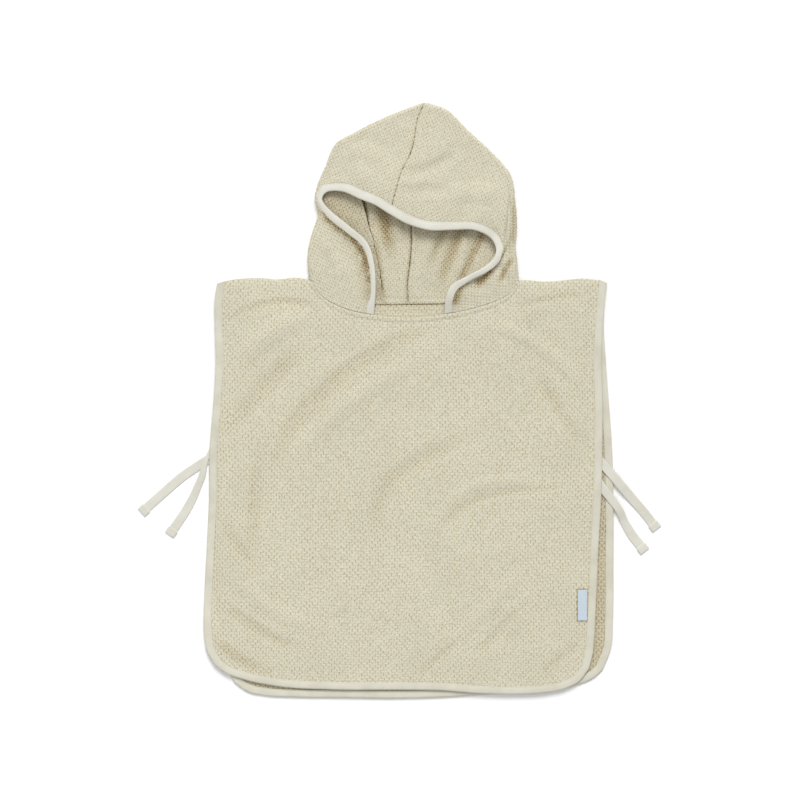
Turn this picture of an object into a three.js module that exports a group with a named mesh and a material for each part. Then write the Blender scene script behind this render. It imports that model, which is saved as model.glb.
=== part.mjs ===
// A toddler's hooded bath poncho, laid flat: two terry panels joined at the shoulders, a two-piece
// hood, a jersey binding round each panel and round the face opening, four tie tapes and a side label.
// Millimetres. +X is the viewer's right, +Y runs from the hem to the hood, +Z is up off the table.
// The origin is on the table, below the middle of the garment.
import * as THREE from 'three';

// Cloth and tape
const SEAM = 0.3; // clearance between pieces that are sewn together
const TERRY = 3; // looped terry, lying free
const PRESSED = 1.2; // the same cloth where a binding grips it
const GRIP_GAP = 0.35; // between the pressed cloth and the tape on each side of it
const TAPE = 1; // jersey tape of the bindings
const BINDING_WIDTH = 10; // from the outer fold to the stitched edge
const BINDING_HEIGHT = PRESSED + 2 * GRIP_GAP + 2 * TAPE;
const NECK_CUT = 0.25; // each side of the curved neck seam is cut back by this much
const CLOTH_EDGE = 1.8; // cut edge of the cloth, in from the fold of the binding
const FOLD_WALL = 1.3; // inner wall of the binding's fold, in from its outside
const THICK_FROM = BINDING_WIDTH + 2.5; // the cloth has its full thickness from here in
const ROUNDING = 0.8; // the binding's outer fold is bevelled by this much
const SHOULDER_DEPTH = 12; // the panels roll towards each other over this depth at the shoulder seam
const SHOULDER_FADE = 6; // and the roll fades over this width beside the neck
const FRONT_DROP = { upper: 1.8, lower: 0.9 }; // how far the front's two faces come down there
const BACK_RISE = 0.7; // how far the back's underside comes up there

// Heights of the layers above the table
const BACK_BASE = 0;
const FRONT_BASE = BINDING_HEIGHT + SEAM;
const FRONT_PUFF = 1.6; // the front lies this much higher away from its edges
const PUFF_FROM_EDGE = 60; // where it reaches that height, in from the bound edge
const PUFF_FROM_TOP = 45; // and down from the shoulder and the neck
const DROOP = { outer: -24, inner: -4 }; // the overhanging left edge comes down over this strip, in X
const DROOP_END = { low: -325, high: -235 }; // and stops over this stretch above the hem corner, in Y
const HOOD_BACK_MIDDLE = TERRY / 2;
const HOOD_NECK_MIDDLE = FRONT_BASE + TERRY / 2;

// Spacing of the mesh
const PANEL_STEP = 27;
const BORDER_STEP = 15; // first step inside the border of a panel
const OVERHANG_STEP = 6; // the same at the overhanging left edge
const NECK_STEP = 22; // along the front neck, between the two ends of the face edge
const NECK_END = 1.5; // last station of the neck, in from its corner
const EDGE_SAMPLES = 300; // of a bound edge, to measure distances from it
const HOOD_ROWS = 18;
const HOOD_FRONT_STEPS = 5;
const HOOD_ROLL_STEPS = 5;
const HOOD_BACK_STEPS = 7;

// Colours
const TERRY_COLOUR = 0xd2cbb4;
const BINDING_COLOUR = 0xd8d4c4;
const TIE_COLOUR = 0xdfddd0;
const LABEL_COLOUR = 0xc7d2db;

// A table of rows with named columns.
function table(columns, rows) {
  return rows.map((row) => Object.fromEntries(columns.map((name, i) => [name, row[i]])));
}

// Shoulder line and neck, shared by both panels and the hood
const SHOULDER_LEFT = table(['x', 'y'], [
  [-237, 152], [-222, 156], [-182, 159], [-157, 157.4], [-137, 159.8], [-115, 156.5],
]);
const SHOULDER_RIGHT = table(['x', 'y'], [
  [155, 156.5], [168, 156.4], [190, 154.6], [215, 156.5], [238, 158.6], [256, 156.6], [269.5, 152.5],
]);
const NECK_FRONT = table(['x', 'y'], [
  [-115, 156.5], [-111, 149], [-102, 137.5], [-83, 125], [-59, 116.5], [-33, 111.8], [12, 108.5],
  [58, 112.6], [83, 117], [107, 123.5], [131, 132.4], [146, 142.5], [155, 156.5],
]);
const NECK_BACK = table(['x', 'y'], [
  [-115, 156.5], [-111, 150], [-101, 139.5], [-82, 130.6], [-51, 125.8], [12, 124.6], [60, 125.8],
  [95, 129], [122, 135.5], [144, 146], [155, 156.5],
]);
const NECK_LEFT = SHOULDER_LEFT.at(-1).x;
const NECK_RIGHT = SHOULDER_RIGHT[0].x;

// Outer edges of the panels, from the shoulder down and from left to right
const FRONT_LEFT = table(['y', 'x'], [
  [152, -237], [130, -240], [98, -239.8], [50, -238.8], [0, -241.5], [-64, -246.8], [-130, -247.7],
  [-200, -251], [-260, -253.8], [-303, -253.6], [-327, -249], [-344, -239],
]);
const FRONT_RIGHT = table(['y', 'x'], [
  [152.5, 269.5], [128, 266.8], [98, 264.3], [60, 262.2], [0, 263.5], [-70, 263.2], [-126, 261.9],
  [-200, 257.8], [-260, 255.3], [-303, 253], [-330, 250.6], [-348, 246],
]);
const FRONT_HEM = table(['x', 'y'], [
  [-239, -344], [-228, -352.2], [-204, -361.5], [-158, -371], [-90, -375.2], [0, -375.6],
  [55, -376.4], [100, -380], [146, -381.3], [189, -379.2], [219, -372.4], [236, -362], [246, -348],
]);
const BACK_LEFT = table(['y', 'x'], [
  [152, -237], [98, -235], [50, -231.5], [0, -230], [-64, -229], [-130, -225], [-200, -222],
  [-290, -222.5], [-332, -223.5], [-354, -221.8], [-367, -214],
]);
const BACK_RIGHT = table(['y', 'x'], [
  [152.5, 269.5], [128, 266.8], [98, 265.6], [60, 267.6], [5, 271.4], [-58, 276], [-130, 278],
  [-210, 278], [-285, 277.3], [-324, 274.4], [-350, 264],
]);
const BACK_HEM = table(['x', 'y'], [
  [-214, -367], [-198, -378], [-177, -383], [-136, -385.4], [-77, -386.2], [-6, -387], [48, -385.7],
  [98, -383], [157, -379.8], [209, -375], [237, -367.5], [255, -358.4], [264, -350],
]);

// Soft folds: each runs from a over b to c, half its width to a side, and rises or sinks by rise
const FOLD_COLUMNS = ['ax', 'ay', 'bx', 'by', 'cx', 'cy', 'half', 'rise'];
const FRONT_FOLDS = table(FOLD_COLUMNS, [
  [-222, 41, -160, 98, -118, 112, 26, 3.2],
  [-218, -31, -188, 3, -142, 60, 20, -1.8],
  [16, 86, -109, 3, -172, -78, 22, -2.2],
  [60, 62, -70, -24, -140, -100, 28, 3.6],
  [-184, -86, -189, -140, -188, -192, 16, -1.6],
  [-233, -166, -208, -196, -184, -223, 16, -1.4],
  [-241, -252, -180, -301, -130, -322, 16, -1.8],
  [-222, -222, -168, -268, -108, -296, 20, 2.2],
  [133, 98, 193, 75, 240, 37, 24, 3],
  [185, 31, 213, -11, 235, -45, 20, -1.8],
  [54, -150, 90, -106, 158, -106, 20, 2.6],
  [50, -182, 98, -140, 193, -132, 16, -1.6],
  [-25, -151, 5, -94, 102, -38, 20, -1.8],
  [20, -355, 45, -338, 72, -317, 14, -1.4],
  [80, -300, 116, -264, 158, -226, 26, 2.6],
  [102, -326, 125, -302, 151, -275, 14, -1.4],
  [185, -356, 208, -338, 232, -317, 14, -1.2],
]);
const HOOD_FRONT_FOLDS = table(FOLD_COLUMNS, [
  [2, 290, 45, 303, 74, 322, 12, -2.6],
  [0, 268, 30, 272, 62, 270, 12, -1.8],
  [-70, 318, -40, 322, -10, 300, 16, 1.8],
  [60, 262, 96, 270, 132, 262, 18, 2.4],
  [-100, 214, -84, 184, -62, 152, 14, 1.6],
  [118, 190, 132, 168, 137, 150, 9, -2],
]);
const HOOD_BACK_FOLDS = table(FOLD_COLUMNS, [
  [-45, 243, -35, 212, -24, 156, 9, 2.6],
  [97, 204, 91, 185, 82, 166, 9, 2],
  [66, 210, 70, 196, 73, 182, 8, 1],
]);

// Hood, in rows from the neck up to the seam over the top. face is the edge of the face opening, fold
// is where the cloth turns round to the back, spine is the seam down the back of the head, and lift is
// how far the face edge stands above the fold.
const HOOD_COLUMNS = ['faceX', 'faceY', 'foldX', 'foldY', 'spineX', 'spineY', 'lift'];
const HOOD_LEFT = table(HOOD_COLUMNS, [
  [-33, 111.8, -115, 156.5, 11.7, 124.6, 0],
  [-30.8, 146, -119.5, 177.5, 10.4, 150, 4],
  [-33, 177.5, -118.3, 200.8, 13.7, 178.8, 6],
  [-42, 205, -113.1, 220.3, 15.6, 202.2, 6],
  [-65, 226, -108.6, 239.8, 15.6, 221.7, 5],
  [-87, 244, -108.4, 252.9, 16, 241.2, 2.4],
  [-99, 261, -110.6, 264.6, 16.9, 260.7, 0.8],
  [-93, 270.5, -107.6, 281.4, 18.2, 278.9, 2],
  [-73.5, 270.4, -98.2, 303.6, 20.2, 297.1, 5],
  [-51.4, 260.7, -85.2, 330.2, 22.1, 315.2, 7],
  [-33.1, 253.5, -59.1, 349.1, 24.1, 333.4, 8],
  [-20.2, 245.7, -16.2, 368.6, 26.2, 354.2, 8],
  [-11.1, 239.8, 31.8, 387.3, 29.5, 373, 8],
]);
const HOOD_RIGHT = table(HOOD_COLUMNS, [
  [58, 112.6, 155, 156.5, 11.7, 124.6, 0],
  [60, 133, 154.6, 172.2, 10.4, 150, 4],
  [68, 150, 153, 184, 13.7, 178.8, 6.5],
  [87.8, 160.6, 151, 197, 15.6, 202.2, 6.5],
  [109.3, 171, 152.1, 211.2, 15.6, 221.7, 5],
  [122.2, 184.6, 152.8, 224.2, 16, 241.2, 3],
  [124.2, 198.2, 151.5, 245.1, 16.9, 260.7, 3],
  [116.4, 212.6, 148.8, 268.4, 18.2, 278.9, 4],
  [95.5, 221.7, 143.7, 295.8, 20.2, 297.1, 6],
  [68.2, 222, 120.2, 321.8, 22.1, 315.2, 7],
  [39.6, 221.7, 89, 350.4, 24.1, 333.4, 8],
  [12.3, 228.2, 61.8, 377, 26.2, 354.2, 8],
  [-11.1, 239.8, 31.8, 387.3, 29.5, 373, 8],
]);
const ROLL_AT_NECK = (HOOD_NECK_MIDDLE - HOOD_BACK_MIDDLE) / 2; // radius of the hood's side folds
const ROLL = 3.1;
const FLAP_STEP = 4.5; // the top flap folds over the side of the hood on the right by this much
const FLAP = { low: [190, 205], high: [285, 320], from: [90, 125], fall: [-4, 5] }; // where it does, in Y and X
const FLAP_EDGE = table(['y', 'x'], [[196, 133], [231, 137], [270, 142], [287, 145]]);

// Ties: the middle of each tape, the height of its underside and its width, from the panel's edge out
const TIE_THICKNESS = 1.2;
const TIE_TAB = { length: 8.5, width: 14, thickness: 2.4, step: 0.4 };
const TIE_COLUMNS = ['x', 'y', 'z', 'width'];
const BACK_TOP = BINDING_HEIGHT + SEAM;
const OVER_TIE = TIE_THICKNESS + SEAM;
const TIE_LEFT_BACK = table(TIE_COLUMNS, [
  [-248, -76, 0, 12], [-264, -86.5, 0, 12], [-283, -99.5, 0, 12], [-301, -115, 0, 12],
  [-318, -130, 0, 12], [-335.3, -145.6, 0, 12],
]);
const TIE_LEFT_FRONT = table(TIE_COLUMNS, [
  [-248.4, -71, OVER_TIE, 5], [-252.6, -81, OVER_TIE, 6], [-256.5, -97, OVER_TIE, 8.5],
  [-262, -111, 0.6, 9.5], [-266.5, -122, 0, 10.5], [-276, -140.5, 0, 11.5], [-287.5, -158, 0, 12],
  [-299, -174.5, 0, 12],
]);
const TIE_RIGHT_FRONT = table(TIE_COLUMNS, [
  [263.4, -82, BACK_TOP, 12], [277, -97.5, BACK_TOP, 12], [289, -112, 3.8, 12], [303.5, -129, 0.9, 12],
  [317, -144.5, 0, 12], [334.5, -167, 0, 12],
]);
const TIE_RIGHT_BACK = table(TIE_COLUMNS, [
  [262.4, -112, BACK_TOP, 12], [277, -130.5, BACK_TOP, 11], [286, -143.5, 3.8, 10], [292, -157, 1, 10.5],
  [300, -171.5, 0, 12], [319, -196, 0, 12],
]);
const TIE_STEPS = 14;

// Label, sewn down along the inner edge of the right binding
const LABEL = { x: 237.4, y: -265.5, width: 12, height: 40, thickness: 1, clearance: 0.7, step: 10 };

const clamp = THREE.MathUtils.clamp;
const lerp = THREE.MathUtils.lerp;
const smoothstep = THREE.MathUtils.smoothstep;

// A smooth curve through one column of a table as a function of another, straight past its ends.
function profile(rows, from, to) {
  const turn = rows.at(-1)[from] < rows[0][from] ? [...rows].reverse() : rows;
  const x = turn.map((row) => row[from]);
  const y = turn.map((row) => row[to]);
  const rate = (i, j) => (y[j] - y[i]) / (x[j] - x[i]);
  const last = x.length - 1;
  const slope = x.map((_, i) => {
    if (i === 0) return rate(0, 1);
    if (i === last) return rate(last - 1, last);
    const before = x[i] - x[i - 1];
    const after = x[i + 1] - x[i];
    return (rate(i - 1, i) * after + rate(i, i + 1) * before) / (before + after);
  });
  return (at) => {
    if (at <= x[0]) return y[0] + slope[0] * (at - x[0]);
    if (at >= x[last]) return y[last] + slope[last] * (at - x[last]);
    const i = x.findIndex((value) => value > at) - 1;
    const span = x[i + 1] - x[i];
    const t = (at - x[i]) / span;
    const rise = y[i] * (1 - t) ** 2 * (1 + 2 * t) + y[i + 1] * t * t * (3 - 2 * t);
    return rise + span * t * (1 - t) * (slope[i] * (1 - t) - slope[i + 1] * t);
  };
}

const shoulderLeft = profile(SHOULDER_LEFT, 'x', 'y');
const shoulderRight = profile(SHOULDER_RIGHT, 'x', 'y');

// Height in Y of a panel's top edge: shoulder, neck, shoulder.
function topEdge(neck) {
  const neckLine = profile(neck, 'x', 'y');
  return (x) => {
    if (x <= NECK_LEFT) return shoulderLeft(x);
    if (x >= NECK_RIGHT) return shoulderRight(x);
    return neckLine(x);
  };
}
const frontTop = topEdge(NECK_FRONT);
const backTop = topEdge(NECK_BACK);
const backLeftEdge = profile(BACK_LEFT, 'y', 'x');

// How far (x, y) lies from the polyline a, b, c, and how far along it, from 0 to 1.
function alongFold(fold, x, y) {
  const legs = [[fold.ax, fold.ay, fold.bx, fold.by], [fold.bx, fold.by, fold.cx, fold.cy]];
  let best = { distance: Infinity, along: 0 };
  legs.forEach(([x0, y0, x1, y1], leg) => {
    const square = (x1 - x0) ** 2 + (y1 - y0) ** 2;
    const part = clamp(((x - x0) * (x1 - x0) + (y - y0) * (y1 - y0)) / square, 0, 1);
    const distance = Math.hypot(x - lerp(x0, x1, part), y - lerp(y0, y1, part));
    if (distance < best.distance) best = { distance, along: (leg + part) / 2 };
  });
  return best;
}

// Sum of the folds' heights at (x, y): each is a round ridge or trough that fades at both ends.
function foldHeight(folds, x, y) {
  let height = 0;
  for (const fold of folds) {
    const { distance, along } = alongFold(fold, x, y);
    const across = Math.max(0, 1 - (distance / fold.half) ** 2) ** 2;
    const fade = smoothstep(along, 0, 0.25) * (1 - smoothstep(along, 0.75, 1));
    height += fold.rise * across * lerp(0.25, 1, fade);
  }
  return height;
}

// A named mesh, its triangles turned so that they face out.
function solid(name, points, triangles, colour) {
  let volume = 0;
  for (const [a, b, c] of triangles) {
    volume += points[a].dot(new THREE.Vector3().crossVectors(points[b], points[c]));
  }
  const turned = volume < 0 ? triangles.map(([a, b, c]) => [a, c, b]) : triangles;
  const geometry = new THREE.BufferGeometry();
  geometry.setAttribute('position', new THREE.Float32BufferAttribute(points.flatMap((p) => p.toArray()), 3));
  geometry.setIndex(turned.flat());
  geometry.computeVertexNormals();
  const material = new THREE.MeshStandardMaterial({ color: colour, roughness: 0.95, metalness: 0 });
  const mesh = new THREE.Mesh(geometry, material);
  mesh.name = name;
  return mesh;
}

// A closed wall between two grids of points, upper and lower, with a rim round all four sides.
function wall(name, upper, lower, colour) {
  const rows = upper.length;
  const columns = upper[0].length;
  const points = [...upper.flat(), ...lower.flat()];
  const at = (layer, i, j) => layer * rows * columns + i * columns + j;
  const triangles = [];
  for (let i = 0; i + 1 < rows; i += 1) {
    for (let j = 0; j + 1 < columns; j += 1) {
      triangles.push([at(0, i, j), at(0, i + 1, j), at(0, i, j + 1)]);
      triangles.push([at(0, i + 1, j), at(0, i + 1, j + 1), at(0, i, j + 1)]);
      triangles.push([at(1, i, j), at(1, i, j + 1), at(1, i + 1, j)]);
      triangles.push([at(1, i + 1, j), at(1, i, j + 1), at(1, i + 1, j + 1)]);
    }
  }
  const rim = [];
  for (let j = 0; j < columns - 1; j += 1) rim.push([0, j]);
  for (let i = 0; i < rows - 1; i += 1) rim.push([i, columns - 1]);
  for (let j = columns - 1; j > 0; j -= 1) rim.push([rows - 1, j]);
  for (let i = rows - 1; i > 0; i -= 1) rim.push([i, 0]);
  rim.forEach((here, k) => {
    const next = rim[(k + 1) % rim.length];
    triangles.push([at(0, ...here), at(0, ...next), at(1, ...here)]);
    triangles.push([at(0, ...next), at(1, ...next), at(1, ...here)]);
  });
  return solid(name, points, triangles, colour);
}

// A closed bar through rings of points, one ring for each section, capped with the outline's triangles.
function loft(name, sections, outline, colour) {
  const size = sections[0].length;
  const points = sections.flat();
  const caps = THREE.ShapeUtils.triangulateShape(outline.map(([x, y]) => new THREE.Vector2(x, y)), []);
  const triangles = [];
  for (let i = 0; i + 1 < sections.length; i += 1) {
    for (let j = 0; j < size; j += 1) {
      const k = (j + 1) % size;
      const base = i * size;
      triangles.push([base + j, base + size + j, base + k]);
      triangles.push([base + size + j, base + size + k, base + k]);
    }
  }
  const end = (sections.length - 1) * size;
  for (const [a, b, c] of caps) {
    triangles.push([a, b, c]);
    triangles.push([end + a, end + c, end + b]);
  }
  return solid(name, points, triangles, colour);
}

// The plan of a panel: a point for s from its left edge to its right and t from its top to its hem.
function panelPlan({ left, right, hem, top }) {
  const leftX = profile(left, 'y', 'x');
  const rightX = profile(right, 'y', 'x');
  const hemY = profile(hem, 'x', 'y');
  const [topY, leftLow, rightTop, rightLow] = [left[0].y, left.at(-1).y, right[0].y, right.at(-1).y];
  const [x0, x1, hemX0, hemX1] = [left[0].x, right[0].x, hem[0].x, hem.at(-1).x];
  const onLeft = (t) => new THREE.Vector2(leftX(lerp(topY, leftLow, t)), lerp(topY, leftLow, t));
  const onRight = (t) => new THREE.Vector2(rightX(lerp(rightTop, rightLow, t)), lerp(rightTop, rightLow, t));
  const onTop = (s) => new THREE.Vector2(lerp(x0, x1, s), top(lerp(x0, x1, s)));
  const onHem = (s) => new THREE.Vector2(lerp(hemX0, hemX1, s), hemY(lerp(hemX0, hemX1, s)));
  const corners = [onTop(0), onTop(1), onHem(0), onHem(1)];
  return (s, t) => {
    const point = onTop(s).multiplyScalar(1 - t).addScaledVector(onHem(s), t);
    point.addScaledVector(onLeft(t), 1 - s).addScaledVector(onRight(t), s);
    const weights = [(1 - s) * (1 - t), s * (1 - t), (1 - s) * t, s * t];
    corners.forEach((corner, i) => point.addScaledVector(corner, -weights[i]));
    return point;
  };
}

// The bound edge as one curve: q from 0 to 1 down the left side, to 2 along the hem, to 3 up the right.
function boundEdge(plan) {
  const at = (q) => {
    if (q <= 1) return plan(0, q);
    if (q <= 2) return plan(q - 1, 1);
    return plan(1, 3 - q);
  };
  const near = 0.012;
  return (q) => {
    const along = at(Math.min(3, q + near)).sub(at(Math.max(0, q - near))).normalize();
    return { point: at(q), inward: new THREE.Vector2(-along.y, along.x) };
  };
}

// Distance from a point to the bound edge
function edgeDistance(edge) {
  const line = Array.from({ length: EDGE_SAMPLES + 1 }, (_, i) => edge((3 * i) / EDGE_SAMPLES).point);
  return (x, y) => {
    let best = Infinity;
    for (let i = 0; i < EDGE_SAMPLES; i += 1) {
      const [a, b] = [line[i], line[i + 1]];
      const square = (b.x - a.x) ** 2 + (b.y - a.y) ** 2;
      const part = clamp(((x - a.x) * (b.x - a.x) + (y - a.y) * (b.y - a.y)) / square, 0, 1);
      best = Math.min(best, Math.hypot(x - lerp(a.x, b.x, part), y - lerp(a.y, b.y, part)));
    }
    return best;
  };
}

// Even steps from one value to another, both included.
function steps(from, to, spacing) {
  const count = Math.max(1, Math.round(Math.abs(to - from) / spacing));
  return Array.from({ length: count + 1 }, (_, i) => lerp(from, to, i / count));
}

const EDGE_STATIONS = [CLOTH_EDGE, BINDING_WIDTH + SEAM, THICK_FROM];

const FRONT = {
  name: 'front_panel',
  plan: panelPlan({ left: FRONT_LEFT, right: FRONT_RIGHT, hem: FRONT_HEM, top: frontTop }),
  // The left edge hangs over the back panel's edge down to the table, apart from its corners.
  base: (x, y) => {
    const corner = 1 - smoothstep(y, DROOP_END.low, DROOP_END.high);
    return FRONT_BASE * Math.max(corner, smoothstep(x - backLeftEdge(y), DROOP.outer, DROOP.inner));
  },
  folds: FRONT_FOLDS,
  puff: FRONT_PUFF,
  top: frontTop,
};
const BACK = {
  name: 'back_panel',
  plan: panelPlan({ left: BACK_LEFT, right: BACK_RIGHT, hem: BACK_HEM, top: backTop }),
  base: () => BACK_BASE,
  folds: [],
  puff: 0,
  top: backTop,
};
for (const panel of [FRONT, BACK]) {
  panel.edge = boundEdge(panel.plan);
  panel.distance = edgeDistance(panel.edge);
}

// Height of the folds at a place on a panel, none where the binding holds the cloth flat.
function panelLift(panel, x, y) {
  if (!panel.puff) return 0;
  const distance = panel.distance(x, y);
  const inside = smoothstep(distance, BINDING_WIDTH, PUFF_FROM_EDGE);
  const free = inside * smoothstep(frontTop(x) - y, 0, PUFF_FROM_TOP);
  return Math.max(0, (panel.puff + foldHeight(panel.folds, x, y)) * free);
}

// Stations across a panel, as X along its top edge, and down it, as distance from the top.
function panelStations(neckStations, rightEdge, leftEdge) {
  const [x0, x1] = [SHOULDER_LEFT[0].x, SHOULDER_RIGHT.at(-1).x];
  const inner = THICK_FROM + BORDER_STEP;
  return [
    ...leftEdge.map((d) => x0 + d),
    ...steps(x0 + inner, NECK_LEFT, PANEL_STEP),
    ...neckStations,
    ...steps(NECK_RIGHT, x1 - inner, PANEL_STEP),
    ...rightEdge.map((d) => x1 - d).reverse(),
  ].map((x) => (x - x0) / (x1 - x0));
}

// Rows of a panel, from the top edge to the hem, as t
const SIDE_HEIGHT = SHOULDER_LEFT[0].y - FRONT_LEFT.at(-1).y;
const panelRows = [
  0, SHOULDER_DEPTH / 3, SHOULDER_DEPTH,
  ...steps(SHOULDER_DEPTH + PANEL_STEP, SIDE_HEIGHT - THICK_FROM - PANEL_STEP / 2, PANEL_STEP),
  ...EDGE_STATIONS.map((d) => SIDE_HEIGHT - d).reverse(),
].map((d) => d / SIDE_HEIGHT);

// A place in the border, in from the bound edge at q. Cloth and binding tilt together there.
function borderPlace(panel, q, distance) {
  const { point, inward } = panel.edge(q);
  const inner = point.clone().addScaledVector(inward, BINDING_WIDTH + SEAM);
  const share = distance / (BINDING_WIDTH + SEAM);
  const base = lerp(panel.base(point.x, point.y), panel.base(inner.x, inner.y), share);
  return { at: point.clone().addScaledVector(inward, distance), base };
}

// Where a grid point of the border lies on the bound edge, or nothing for a point inside it
function borderStation(columns, i, j) {
  const fromHem = panelRows.length - 1 - j;
  const fromRight = columns.length - 1 - i;
  const level = Math.min(i, fromRight, fromHem);
  if (level >= EDGE_STATIONS.length) return null;
  const distance = EDGE_STATIONS[level];
  if (i === level) return { distance, q: fromHem === level ? 1 : panelRows[j] };
  if (fromRight === level) return { distance, q: fromHem === level ? 2 : 3 - panelRows[j] };
  return { distance, q: 1 + columns[i] };
}

// A panel's cloth: its full thickness in the open, pressed thin inside the binding, rolled at the shoulder.
function panelCloth(panel, columns, shoulderRoll) {
  const upper = [];
  const lower = [];
  panelRows.forEach((t, j) => {
    const above = [];
    const below = [];
    columns.forEach((s, i) => {
      const station = borderStation(columns, i, j);
      const border = station && borderPlace(panel, station.q, station.distance);
      const place = border ? border.at : panel.plan(s, t);
      if (t === 0) place.y = panel.top(place.x) - NECK_CUT;
      const { x, y } = place;
      const pressed = station !== null && station.distance < THICK_FROM;
      const base = pressed ? border.base : panel.base(x, y) + panelLift(panel, x, y);
      const gap = pressed ? (BINDING_HEIGHT - PRESSED) / 2 : 0;
      above.push(new THREE.Vector3(x, y, base + gap + (pressed ? PRESSED : TERRY)));
      below.push(new THREE.Vector3(x, y, base + gap));
      const inside = smoothstep(panel.distance(x, y), THICK_FROM, 2 * THICK_FROM);
      shoulderRoll(above.at(-1), below.at(-1), inside * shoulderShare(t * SIDE_HEIGHT, x));
    });
    upper.push(above);
    lower.push(below);
  });
  return wall(panel.name, upper, lower, TERRY_COLOUR);
}

// 1 at the shoulder seam, 0 from SHOULDER_DEPTH below it and in the neck
function shoulderShare(depth, x) {
  const neck = smoothstep(Math.max(NECK_LEFT - x, x - NECK_RIGHT), -2, SHOULDER_FADE);
  return neck * Math.max(0, 1 - depth / SHOULDER_DEPTH) ** 2;
}

// At the shoulders the two panels roll towards each other and meet.
function rollFrontDown(above, below, share) {
  above.z -= FRONT_DROP.upper * share;
  below.z -= FRONT_DROP.lower * share;
}
function rollBackUp(above, below, share) {
  below.z += BACK_RISE * share;
}

// Outline of a binding's section: across from the outer fold, and up from the middle of the cloth.
const HALF = BINDING_HEIGHT / 2;
const INSIDE = HALF - TAPE;
const BINDING_OUTLINE = [
  [BINDING_WIDTH, HALF], [ROUNDING, HALF], [0, INSIDE], [0, -INSIDE], [ROUNDING, -HALF],
  [BINDING_WIDTH, -HALF],
  [BINDING_WIDTH, -INSIDE], [FOLD_WALL, -INSIDE], [FOLD_WALL, INSIDE], [BINDING_WIDTH, INSIDE],
];

// The binding of a panel, from one shoulder down the side, round the hem and up to the other shoulder.
function panelBinding(name, panel, columns) {
  const levels = EDGE_STATIONS.length;
  const side = [0.001, ...panelRows.slice(1, -1)];
  const hem = columns.slice(levels - 1, 1 - levels);
  const route = [...side, 1, ...hem.map((s) => 1 + s), 2, ...side.map((t) => 3 - t).reverse()];
  const sections = route.map((q) => BINDING_OUTLINE.map(([across, up]) => {
    const { at, base } = borderPlace(panel, q, across);
    return new THREE.Vector3(at.x, at.y, base + HALF + up);
  }));
  return loft(name, sections, BINDING_OUTLINE, BINDING_COLOUR);
}

// One half of the hood. side is -1 on the left and 1 on the right.
function hoodHalf(rows, side) {
  const numbered = rows.map((row, i) => ({ ...row, u: i / (rows.length - 1) }));
  const column = Object.fromEntries(HOOD_COLUMNS.map((name) => [name, profile(numbered, 'u', name)]));
  const vector = (name, u) => new THREE.Vector2(column[`${name}X`](u), column[`${name}Y`](u));
  const flapEdge = profile(FLAP_EDGE, 'y', 'x');

  // Places that belong to a row: the face edge, the middle of the side fold, the spine.
  function row(u) {
    const [face, outside, spine] = ['face', 'fold', 'spine'].map((name) => vector(name, u));
    const roll = lerp(ROLL_AT_NECK, ROLL, smoothstep(u, 0, 0.12));
    const out = outside.clone().sub(face.clone().add(spine).multiplyScalar(0.5)).normalize();
    const fold = outside.clone().addScaledVector(out, -roll - TERRY / 2);
    const reach = face.distanceTo(fold);
    return { face, fold, spine, roll, out, reach, grip: Math.min(BINDING_WIDTH, 0.6 * reach), u };
  }

  // The neck is curved; this moves a straight row onto it and fades within the first rows.
  function neckBow(from, to, top, part) {
    const straight = lerp(from.y, to.y, part);
    return top(lerp(from.x, to.x, part)) - straight;
  }
  const neck = row(0);
  const bowShare = (u) => (1 - smoothstep(u, 0, 0.2));

  function frontHeight({ roll, reach, u }, distance, place) {
    const part = clamp(distance / reach, 0, 1);
    const rise = column.lift(u) * (1 - smoothstep(part, 0, 1));
    const edge = smoothstep(distance, 0, 14) * smoothstep(reach - distance, -2, 12) * smoothstep(u, 0, 0.1);
    const folds = foldHeight(HOOD_FRONT_FOLDS, place.x, place.y) * edge;
    const flap = side > 0 ? flapRise(place) * smoothstep(u, 0.3, 0.45) * edge : 0;
    return HOOD_BACK_MIDDLE + 2 * roll + rise + folds + flap;
  }
  function flapRise({ x, y }) {
    const near = smoothstep(y, ...FLAP.low) * (1 - smoothstep(y, ...FLAP.high)) * smoothstep(x, ...FLAP.from);
    return FLAP_STEP * near * (1 - smoothstep(x - flapEdge(y), ...FLAP.fall));
  }

  // Middle of the cloth on the front layer, a distance in from the face edge.
  function front(place, distance) {
    const part = distance / place.reach;
    const plan = place.face.clone().lerp(place.fold, part);
    plan.y += neckBow(neck.face, neck.fold, frontTop, clamp(part, 0, 1)) * bowShare(place.u);
    return new THREE.Vector3(plan.x, plan.y, frontHeight(place, distance, plan));
  }
  function roll(place, angle) {
    const edge = front(place, place.reach);
    const across = place.roll * Math.sin(angle);
    edge.x += place.out.x * across;
    edge.y += place.out.y * across;
    edge.z = HOOD_BACK_MIDDLE + place.roll * (1 + Math.cos(angle));
    return edge;
  }
  function back(place, part) {
    const plan = place.fold.clone().lerp(place.spine, part);
    plan.y += neckBow(neck.fold, neck.spine, backTop, part) * bowShare(place.u);
    const free = smoothstep(part, 0, 0.2) * (1 - smoothstep(part, 0.85, 1)) * smoothstep(place.u, 0, 0.15);
    const folds = foldHeight(HOOD_BACK_FOLDS, plan.x, plan.y) * free;
    return new THREE.Vector3(plan.x, plan.y, HOOD_BACK_MIDDLE + Math.max(0, folds));
  }
  return { row, front, roll, back, side };
}

const hoods = { left: hoodHalf(HOOD_LEFT, -1), right: hoodHalf(HOOD_RIGHT, 1) };

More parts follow.
